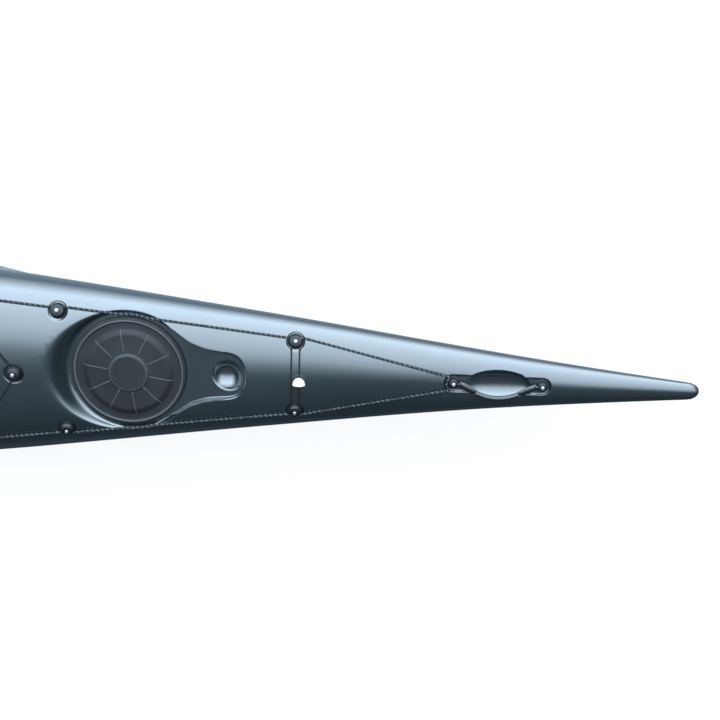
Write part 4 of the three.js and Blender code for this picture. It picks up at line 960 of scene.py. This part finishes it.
def turned(name, rows, count=48):
    """A round piece spun from its half section about Z."""
    piece = new_piece(name, [(r, 0, z) for r, z in rows], [], [(i, i + 1) for i in range(len(rows) - 1)])
    choose(piece)
    bpy.ops.object.mode_set(mode="EDIT")
    bpy.ops.mesh.select_all(action="SELECT")
    bpy.ops.mesh.spin(steps=count, angle=2 * math.pi, center=(0, 0, 0), axis=(0, 0, 1))
    bpy.ops.mesh.select_all(action="SELECT")
    bpy.ops.mesh.remove_doubles(threshold=0.00002)
    bpy.ops.object.mode_set(mode="OBJECT")
    faced_out(piece)
    shaded(piece, 38)
    return piece


def copied(master, name, place):
    """A copy with a mesh of its own, set down at a place."""
    piece = bpy.data.objects.new(name, master.data.copy())
    piece.data.transform(place)
    bpy.context.scene.collection.objects.link(piece)
    return piece


black = new_finish("moulded_black")
black_wear = black.noise(30, 5, 0.7).between(0.55, 0.75)
black_color = black.mixed(black_wear, (0.0075, 0.008, 0.0085, 1), (0.019, 0.02, 0.021, 1))
black.grained(black_color, black.noise(220, 4, 0.6), 0.3, 0.14, 0.00006, IOR=1.5)
steel = new_finish("bright_steel")
steel_lines = steel.noise(700, 3, 0.6, (1, 0.12, 1))
steel_color = steel.mixed(steel_lines, (0.56, 0.57, 0.58, 1), (0.74, 0.75, 0.76, 1))
steel.surface(Base_Color=steel_color, Metallic=1.0, Roughness=0.2 + steel_lines * 0.16)

dome_master = turned("dome", dome_rows)
cap_master = turned("cap", cap_rows)
head_master = turned("head", head_rows, 32)
for quarter in (0, math.pi / 2):
    cutter = block(cross_size, (0, 0, cross_rise), quarter)
    modified(head_master, "BOOLEAN", operation="DIFFERENCE", object=cutter, solver="EXACT")
    bpy.data.objects.remove(cutter)
shaded(head_master, 38)

screw_turns = {
    "front_port": 0.4, "front_starboard": 1.1, "bow_port": 0.8, "bow_starboard": 0.2, "foredeck_centre": 0.6,
}
for spot, place in fitting_frames.items():
    dome = copied(dome_master, spot + "_dome", place)
    finished(dome, black, "black_plastic", "boat", spot + "_fitting")
    turn = Matrix.Rotation(screw_turns.get(spot, 0.9), 4, "Z")
    head = copied(head_master, spot + "_screw_head", place @ Matrix.Translation((0, 0, dome_seat)) @ turn)
    stands_for = [spot + "_screw"] if spot in screw_turns else []
    finished(head, steel, "screw_steel", "boat", *stands_for)
handle_frames = {}
for end, spot in handle_spots.items():
    forward = 1 if end == "bow" else -1
    for part, side in (("inner", -1), ("outer", 1)):
        place = deck_frame(spot + side * forward * cap_spacing / 2, 0, slot_depth)
        handle_frames[end, part] = place
        cap = copied(cap_master, f"{end}_{part}_cap", place)
        finished(cap, black, "black_plastic", "boat", f"{end}_handle_{part}_cap")
        head = copied(head_master, f"{end}_{part}_cap_screw", place @ Matrix.Translation((0, 0, cap_seat)))
        finished(head, steel, "screw_steel", "boat")
for master in (dome_master, cap_master, head_master):
    bpy.data.objects.remove(master)


# The deck lines: 5 mm braided cord, black with pale flecks, laced through the fittings along both edges
# and round the inner cap of each carry handle. They are drawn 6 mm thick, as the photo shows them.
line_radius = 0.0025
line_swell = 1.2
line_lift = 0.0016
line_out = 0.008
line_hole = 0.006
cap_hole = (0.008, 0.016, 0.009)
cap_round = 0.0168
dome_radius = 0.0185
cover_clear = 0.008
hole_ease = 0.02


def rope(name, points, radius, around=12, close_round=False):
    """A cord along a smooth line. Its map runs once for each metre along it and once round it."""
    points = np.asarray(points, float)
    steps = np.diff(np.concatenate((points, points[:1])) if close_round else points, axis=0)
    along = np.concatenate(([0], np.cumsum(np.linalg.norm(steps, axis=1))))
    ahead = np.roll(points, -1, axis=0) - np.roll(points, 1, axis=0)
    if not close_round:
        ahead[0], ahead[-1] = points[1] - points[0], points[-1] - points[-2]
    ahead /= np.linalg.norm(ahead, axis=1)[:, None]
    side = np.cross(ahead, (0, 0, 1))
    side /= np.linalg.norm(side, axis=1)[:, None]
    rise = np.cross(side, ahead)
    turns = round_turns(around)
    vertices = points[:, None] + radius * (
        side[:, None] * np.cos(turns)[None, :, None] + rise[:, None] * np.sin(turns)[None, :, None]
    )
    faces, wraps = [], []
    for i in range(len(points) if close_round else len(points) - 1):
        j = (i + 1) % len(points)
        for k in range(around):
            n = (k + 1) % around
            faces.append((i * around + k, j * around + k, j * around + n, i * around + n))
            v = (k / around, (k + 1) / around)
            wraps += [(along[i], v[0]), (along[i + 1], v[0]), (along[i + 1], v[1]), (along[i], v[1])]
    if not close_round:
        last = (len(points) - 1) * around
        faces += [tuple(range(around)), tuple(last + k for k in reversed(range(around)))]
        wraps += [(along[0], 0.5)] * around + [(along[-1], 0.5)] * around
    piece = new_piece(name, vertices.reshape(-1, 3), faces)
    layer = piece.data.uv_layers.new(name="wrap")
    layer.data.foreach_set("uv", np.asarray(wraps, np.float32).ravel())
    return piece


def keep_off_covers(points):
    """Where a line would pass over a cover, it lies just outside the cover's edge."""
    for hatch in hatches.values():
        a, b = hatch["half"]
        along = np.abs((points[:, 0] - hatch["x"]) / (a + cover_clear + line_radius))
        near = along < 1
        out = np.where(near, (b + cover_clear) * np.sqrt(np.maximum(1 - along**2, 0)), 0)
        points[:, 1] = np.where(np.abs(points[:, 1]) < out, np.sign(points[:, 1]) * out, points[:, 1])
    return points


def deck_run(start, end, lift, step=0.008):
    """A cord pulled over the deck from one hole to the next."""
    start, end = np.array(start, float), np.array(end, float)
    count = max(int(np.linalg.norm(end - start) / step), 6)
    points = keep_off_covers(start + (end - start) * np.linspace(0, 1, count)[:, None])
    on_deck = plain_deck(points[:, 0], points[:, 1]) + lift
    height = on_deck
    for hole, i in ((start, 0), (end, -1)):
        away = np.linalg.norm(points[:, :2] - hole[:2], axis=1)
        height = height + (hole[2] - on_deck[i]) * np.exp(-away / hole_ease)
    points[:, 2] = height
    points[0], points[-1] = start, end
    return points


def perimeter(spots, end):
    """A deck line's path: forward through the port fittings, round the cap and back on the other side."""
    forward = 1 if end == "bow" else -1
    cap_place = handle_frames[end, "inner"]
    stops = []
    for spot in spots:
        place = fitting_frames[spot + "_port"]
        stops += [place @ Vector((way * dome_radius * forward, line_out, line_hole)) for way in (-1, 1)]
    back, aside, height = cap_hole
    stops.append(cap_place @ Vector((-forward * back, aside, height)))
    port = [np.array([stops[0]])]
    for i in range(len(stops) - 1):
        if i % 2:
            port.append(deck_run(stops[i], stops[i + 1], line_radius + line_lift)[1:])
        else:
            port.append(np.linspace(stops[i], stops[i + 1], 5)[1:])
    port = np.concatenate(port)
    turn_start = math.atan2(aside, back)
    round_cap = []
    for turn in np.linspace(turn_start, -turn_start, 17)[1:-1]:
        spot = Vector((-forward * cap_round * math.cos(turn), cap_round * math.sin(turn), height))
        round_cap.append((cap_place @ spot)[:])
    return np.concatenate((port, round_cap, port[::-1] * (1, -1, 1)))


def cord_places(finish):
    """How far along a cord and how far round it a point lies."""
    return finish.parts(finish.node("ShaderNodeUVMap", {"uv_map": "wrap"}))[:2]


flecked = new_finish("flecked_braid")
along_cord, round_cord = cord_places(flecked)
strand = flecked.maths("PINGPONG", along_cord * 230 + round_cord * 4, 1.0)
other_strand = flecked.maths("PINGPONG", along_cord * 230 - round_cord * 4, 1.0)
weave = flecked.maths("MAXIMUM", strand, other_strand)
fleck = flecked.maths("FRACT", along_cord * 84 + round_cord)
fleck_gaps = flecked.noise(60, 2, 0.5).between(0.3, 0.5)
fleck_shape = (1 - fleck.between(0.06, 0.11)) * fleck.between(0.0, 0.04) * fleck_gaps
line_dark = flecked.mixed(weave, (0.004, 0.0045, 0.005, 1), (0.016, 0.018, 0.02, 1))
line_color = flecked.mixed(fleck_shape, line_dark, (0.42, 0.45, 0.47, 1))
flecked.surface(Base_Color=line_color, Roughness=0.72, Normal=flecked.bump(weave, 0.0002))

for end, spots in (("bow", ("cockpit", "foredeck", "front", "bow")), ("stern", ("reardeck", "stern"))):
    line = rope(end + "_perimeter_line", perimeter(spots, end), line_radius * line_swell)
    finished(line, flecked, "deck_line", "boat", end + "_deck_line")


# The bungees: 4 mm black shock cord with a woven cover, in a loop between a pair of fittings. A white moulded
# half-dome bead lies on its side on the fore strand of the front one, with a black plate on its flat face.
bungee_radius = 0.002
bungee_lift = 0.002
bungee_spread = 0.0095
bungee_turn = 0.0065
bungee_swing = 0.006
bungee_hole = 0.0052
bungee_step = 0.01


def bungee_loop(spot):
    """Both strands of a loop, with their turns inside the two fittings."""
    place = fitting_frames[spot + "_port"]
    strands = []
    for along in (bungee_spread, -bungee_spread):
        edge = np.array(place @ Vector((along, -dome_radius, bungee_hole)))
        strands.append(deck_run(edge, edge * (1, -1, 1), bungee_radius + bungee_lift, bungee_step))
    turn = []
    for a in np.linspace(math.pi, 0, 9):
        across = -bungee_turn - bungee_swing + bungee_swing * math.sin(a)
        turn.append((place @ Vector((bungee_spread * 0.9 * math.cos(a), across, bungee_hole)))[:])
    turn = np.array(turn)
    return np.concatenate((turn, strands[0], turn[::-1] * (1, -1, 1), strands[1][::-1]))


shock = new_finish("shock_cord")
along_cord, round_cord = cord_places(shock)
ribbed = shock.maths("PINGPONG", along_cord * 420 + round_cord * 5, 1.0)
shock_color = shock.mixed(ribbed, (0.003, 0.0032, 0.0035, 1), (0.014, 0.015, 0.016, 1))
shock.surface(Base_Color=shock_color, Roughness=0.66, Normal=shock.bump(ribbed, 0.00015))
for name, spot in (("cross", "bow"), ("reardeck", "reardeck")):
    loop = rope(name + "_shock_cord", bungee_loop(spot), bungee_radius, 10, True)
    finished(loop, shock, "shock_cord", "boat", name + "_bungee")

port_place, centre_place = fitting_frames["foredeck_port"], fitting_frames["foredeck_centre"]
leg_start = port_place @ Vector((0, -bungee_turn, bungee_hole))
leg_edge = port_place @ Vector((dome_radius * 0.5, -dome_radius, bungee_hole))
leg_near = centre_place @ Vector((-dome_radius * 0.4, dome_radius, bungee_hole))
leg_turn = centre_place @ Vector((bungee_turn, bungee_turn, bungee_hole))
leg = deck_run(leg_edge, leg_near, bungee_radius + bungee_lift, bungee_step)
half = np.concatenate(([leg_start[:]], leg, [leg_turn[:]]))
foredeck_cord = rope("foredeck_shock_cord", np.concatenate((half, half[::-1] * (1, -1, 1))), bungee_radius, 10)
finished(foredeck_cord, shock, "shock_cord", "boat", "foredeck_bungee")

bead_x = (fitting_frames["bow_port"] @ Vector((bungee_spread, 0, 0))).x
bead_flat = -0.0125
bead_radius, bead_height = 0.015, 0.019
bead_rows = [(0, 0), (bead_radius - 0.0012, 0), (bead_radius - 0.0002, 0.0008)]
for a in map(math.radians, (0, 8, 18, 30, 42, 54, 66, 78)):
    bead_rows.append((bead_radius * math.cos(a), 0.001 + (bead_height - 0.001) * math.sin(a)))
bead_rows.append((0, bead_height))
back_rows = [(0, -0.0022), (0.0138, -0.0022), (0.0146, -0.0014), (0.0146, -0.0001), (0, -0.0001)]
bead_low = float(plain_deck(bead_x, 0)) + bungee_radius + bungee_lift
lying = Matrix.Diagonal((1, 1, bead_height / (2 * bead_radius), 1)) @ Matrix.Rotation(-math.pi / 2, 4, "X")
bead_place = Matrix.Translation((bead_x, bead_flat, bead_low + bead_height / 2)) @ lying
white_bead = turned("white_bead", bead_rows, 40)
back_plate = turned("bead_back_plate", back_rows, 40)
for piece in (white_bead, back_plate):
    piece.data.transform(bead_place)
bead_finish = new_finish("white_moulding")
bead_marks = bead_finish.noise(120, 4, 0.6)
bead_color = bead_finish.mixed(bead_marks, (0.78, 0.8, 0.8, 1), (0.9, 0.91, 0.91, 1))
bead_finish.grained(bead_color, bead_marks, 0.3, 0.1, 0.00005)
finished(back_plate, black, "black_plastic", "boat")
finished(white_bead, bead_finish, "white_plastic", "boat", "bungee_bead")


# The carry handles: a moulded rubber grip on a flat woven strap that turns on a pin in each cap. The
# grip lies over to starboard in its scoop.
grip_radius = 0.0055
grip_length = 0.104
grip_reach = 0.032
grip_drop = 0.002
grip_face = np.array((0, 0.5, 0.866))
grip_flattening = 0.42
grip_steps, grip_around = 41, 20
grip_end, end_narrowing = 0.03, 0.42
ridge_count, ridge_depth = 10, 0.045
strap_start = 0.0153
strap_width = 0.019
strap_thickness = 0.003
strap_widths = [0.78, 1, 0.85, 0.55]
strap_section = [(-1, -0.5), (-0.96, -1), (0.96, -1), (1, -0.5), (1, 0.5), (0.96, 1), (-0.96, 1), (-1, 0.5)]
pivot_rise = 0.0084
pin_places, pin_radius = (0.006, 0.012, 0.0183), 0.0036


def handle(end):
    """The grip, bowed between its ends, and a strap and a pin from each end to its cap."""
    pivots = [handle_frames[end, part] @ Vector((0, 0, pivot_rise)) for part in ("inner", "outer")]
    along = (pivots[1] - pivots[0]).normalized()
    centre = (pivots[0] + pivots[1]) / 2
    shares = np.linspace(0, 1, grip_steps)
    arc = []
    for share in shares:
        bow = 1 - (2 * share - 1) ** 2
        reach = grip_reach * (0.62 + 0.38 * bow)
        aside = Vector((0, -reach, -grip_drop * reach / grip_reach))
        arc.append(centre + along * (share - 0.5) * grip_length + aside)
    near_end = np.minimum(shares, 1 - shares) / grip_end
    ends = 1 - end_narrowing * np.maximum(1 - near_end, 0) ** 2
    ridges = 1 - ridge_depth * (np.cos(shares * 2 * math.pi * ridge_count) > 0.2)
    grip = rope("grip", [p[:] for p in arc], grip_radius, grip_around)
    points = np.array([v.co[:] for v in grip.data.vertices]).reshape(grip_steps, grip_around, 3)
    middle = points.mean(1, keepdims=True)
    offsets = (points - middle) * (ends * ridges)[:, None, None]
    offsets -= grip_flattening * (offsets @ grip_face)[..., None] * grip_face
    grip.data.vertices.foreach_set("co", (middle + offsets).reshape(-1))
    pieces = [grip]
    for pivot, way, tip in ((pivots[0], 1, arc[0]), (pivots[1], -1, arc[-1])):
        start = pivot + along * way * strap_start
        finish_at = tip + along * way * strap_thickness
        rings = []
        for step in np.linspace(0, 1, 13):
            wide = np.interp(step, np.linspace(0, 1, 4), strap_widths) * strap_width / 2
            spot = start.lerp(finish_at, float(step))
            rings.append([(spot.x, spot.y + wide * y, spot.z + strap_thickness / 2 * z) for y, z in strap_section])
        pieces.append(ringed("strap", rings, caps=True))
        pieces.append(rope("pin", [(pivot + along * way * d)[:] for d in pin_places], pin_radius, 16))
    return joined(end + "_carry_handle", pieces)


strap_finish = new_finish("handle_rubber")
strap_weave = strap_finish.noise(900, 2, 0.5, (1, 2.5, 1))
strap_worn = strap_finish.noise(40, 5, 0.65).between(0.5, 0.75)
strap_color = strap_finish.mixed(strap_worn, (0.008, 0.0085, 0.009, 1), (0.02, 0.021, 0.022, 1))
strap_finish.grained(strap_color, strap_weave, 0.2, 0.14, 0.00012, IOR=1.8)
for end in handle_spots:
    finished(handle(end), strap_finish, "black_rubber", end + "_handle", end + "_handle")


# The cockpit coaming: a black moulded ring bonded round the opening, with a rolled lip that holds a
# spray cover. It stands on the deck and rises toward the bow.
coaming_rises = (0.022, 0.027)
coaming_under = -0.007
coaming_lift = 0.0003
coaming_section = [
    (0.0001, -0.06), (0, -0.03), (0, -0.004), (0.0012, -0.0013), (0.0035, -0.0002), (0.0075, 0),
    (0.0135, -0.0006), (0.02, -0.0017), (0.0238, -0.0028), (0.0249, -0.0042), (0.0244, -0.0056), (0.023, -0.006),
    (0.018, -0.0056), (0.012, -0.0052), (0.0086, -0.0056), (0.0072, -0.0072), (0.007, -0.012), (0.007, -0.03),
    (0.007, -0.06),
]
cockpit_ends = (cockpit_middle - cockpit_length / 2, cockpit_middle + cockpit_length / 2)
coaming_ends = [float(plain_deck(x, 0)) + rise for x, rise in zip(cockpit_ends, coaming_rises)]
coaming_slope = (coaming_ends[1] - coaming_ends[0]) / (cockpit_ends[1] - cockpit_ends[0])
coaming_rings = []
for out, up in coaming_section:
    ring = cockpit_outline(out)
    top = np.interp(ring[:, 0], cockpit_ends, coaming_ends)
    top += coaming_slope * (ring[:, 0] - np.clip(ring[:, 0], *cockpit_ends))
    height = top + up
    if up < coaming_under:
        height = np.maximum(height, plain_deck(ring[:, 0], ring[:, 1]) + coaming_lift)
    coaming_rings.append(np.column_stack((ring, height)))
coaming = ringed("coaming_ring", coaming_rings, close_round=True)
finished(coaming, black, "black_plastic", "boat", "cockpit_coaming")


# The seat: a bucket of black moulded plastic 5 mm thick, with a thin foam cushion covered in dark cloth.
# The cushion is sewn in three channels with a piped edge, and is glued into the bucket.
seat_x = cockpit_ends[0] + 0.2205
seat_length = 0.305
seat_width = 0.364
seat_floor = 0.0109
seat_wall = 0.005
side_rise, back_rise, front_rise = 0.118, 0.03, 0.02


def rise_beyond(place, start):
    return np.maximum(0, (place - start) / (1 - start)) ** 2


def bucket(u, v):
    """Height of the seat's upper face, u forward and v across."""
    back, front = back_rise * rise_beyond(1 - u, 0.78), front_rise * rise_beyond(u, 0.75)
    return seat_floor + side_rise * rise_beyond(np.abs(v), 0.42) + back + front


def slab(name, above, below):
    """A closed sheet between two grids of points."""
    rows, columns = above.shape[:2]
    flat = np.concatenate((above.reshape(-1, 3), below.reshape(-1, 3)))
    size, faces = rows * columns, []
    for i in range(rows - 1):
        for j in range(columns - 1):
            a, b = i * columns + j, (i + 1) * columns + j
            faces += [(a, b, b + 1, a + 1), (size + a, size + a + 1, size + b + 1, size + b)]
    rim = [*range(columns), *(i * columns + columns - 1 for i in range(1, rows))]
    rim += [(rows - 1) * columns + j for j in range(columns - 2, -1, -1)]
    rim += [i * columns for i in range(rows - 2, 0, -1)]
    faces += [(p, q, size + q, size + p) for p, q in zip(rim, rim[1:] + rim[:1])]
    piece = new_piece(name, flat, faces)
    faced_out(piece)
    shaded(piece, 50)
    return piece


def spread(low_u, high_u, low_v, high_v, rows, columns):
    """A grid of places between limits, u along and v across."""
    along, across = np.linspace(low_u, high_u, rows), np.linspace(low_v, high_v, columns)
    return np.meshgrid(along, across, indexing="ij")


def seat_place(u, v, height):
    return np.stack((seat_x + (u - 0.5) * seat_length, v * seat_width / 2, height), axis=2)


u, v = spread(0, 1, -1, 1, 41, 61)
pan = slab("seat_bucket", seat_place(u, v, bucket(u, v)), seat_place(u, v, bucket(u, v) - seat_wall))
modified(pan, "BEVEL", width=0.0016, segments=2, angle_limit=math.radians(60))
finished(pan, black, "black_plastic", "boat", "seat_pan")

cloth = new_finish("pad_cloth")
threads = [cloth.maths("SINE", way * 5200) for way in cloth.parts(cloth.place())[:2]]
woven = cloth.maths("MAXIMUM", *threads)
faded = cloth.noise(14, 5, 0.6)
cloth_color = cloth.mixed(faded.between(0.35, 0.7), (0.011, 0.012, 0.0135, 1), (0.03, 0.032, 0.035, 1))
cloth.surface(
    Base_Color=cloth_color, Roughness=0.82 + faded * 0.12, Sheen_Weight=0.25, Normal=cloth.bump(woven, 0.00012),
)

pad_edge = 0.012
pipe_inset = 0.009


def seams(share, places, size, width):
    """Where a pad's sewn channels run, as a share of their depth."""
    return sum(np.exp(-((share - at) * size / width) ** 2) for at in places)


def padding(edge, foam, channels, thin, groove, pipe, pipe_width):
    """How thick a sewn pad is: thin at its edge, drawn in along its channels and piped round."""
    rounded = np.sqrt(1 - (1 - np.clip(edge / pad_edge, 0, 1)) ** 2)
    piping = pipe * np.exp(-((edge - pipe_inset) / pipe_width) ** 2)
    return foam * (thin + (1 - thin) * rounded) - groove * channels * rounded + piping


u, v = spread(1 / 7, 6 / 7, -0.6, 0.6, 71, 101)
edge = np.minimum(np.minimum(u - 1 / 7, 6 / 7 - u) * seat_length, (0.6 - np.abs(v)) * seat_width / 2)
pad_foam = 0.0132 + 0.009 * (1 - ((2 * u - 1) / 0.73) ** 4) * (1 - (v / 0.62) ** 4)
channels = seams(v, (-0.2, 0.2), seat_width / 2, 0.0022)
depth = padding(edge, pad_foam, channels, 0.25, 0.0042, 0.0016, 0.0016)
low, high = bucket(u, v) + 0.0005, bucket(u, v) + 0.0006 + depth
cushion = slab("seat_pad", seat_place(u, v, high), seat_place(u, v, low))
finished(cushion, cloth, "pad_fabric", "boat", "seat_cushion")


# The backband: a curved foam pad in dark cloth on a plastic plate that tips on two pins in the seat's
# side plates. Two sewn channels cross the pad, and its edge is piped.
band_x = seat_x - 0.193
band_width = 0.296
band_height = 0.128
band_bottom = 0.104
band_curve = 0.034


def band_place(u, v, out):
    x = band_x + band_curve * v**2 + out
    return np.stack((x, v * band_width / 2, band_bottom + u * band_height), axis=2)


u, v = spread(0, 1, -1, 1, 61, 121)
edge = np.minimum(np.minimum(u, 1 - u) * band_height, (1 - np.abs(v)) * band_width / 2)
pad_foam = 0.0214 + 0.010 * (1 - (2 * u - 1) ** 4) * (1 - v**4)
channels = seams(u, (0.34, 0.66), band_height, 0.0024)
depth = padding(edge, pad_foam, channels, 0.22, 0.005, 0.0014, 0.0017)
band = slab("backband_cushion", band_place(u, v, depth), band_place(u, v, np.full_like(u, 0.0005)))
finished(band, cloth, "pad_fabric", "backband", "backband_pad")


# The pieces whose CAD shape is already right: rims, bulkheads, hangers, braces, rails, pedals, the skeg
# with its box, pin and cable, the slider and the backband's plate. Each keeps its shape and gets its finish.
foam = new_finish("closed_cell_foam")
cells = foam.noise(420, 4, 0.6)
foam_color = foam.mixed(cells, (0.032, 0.035, 0.038, 1), (0.062, 0.066, 0.07, 1))
foam.grained(foam_color, cells, 0.88, 0.08, 0.0004)
carried = {
    black: [
        "front_hatch_rim", "day_hatch_rim", "rear_hatch_rim", "left_seat_hanger", "right_seat_hanger",
        "left_foot_rail", "right_foot_rail", "left_foot_pedal", "right_foot_pedal", "skeg_box", "skeg_blade",
        "skeg_cable", "slider_track", "slider_knob", "backband_plate",
    ],
    foam: ["front_bulkhead", "day_bulkhead", "rear_bulkhead", "left_thigh_brace", "right_thigh_brace"],
    steel: ["skeg_pin"],
}
for finish, names in carried.items():
    for name in names:
        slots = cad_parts[name].data.materials
        for index in range(len(slots)):
            slots[index] = finish.owner
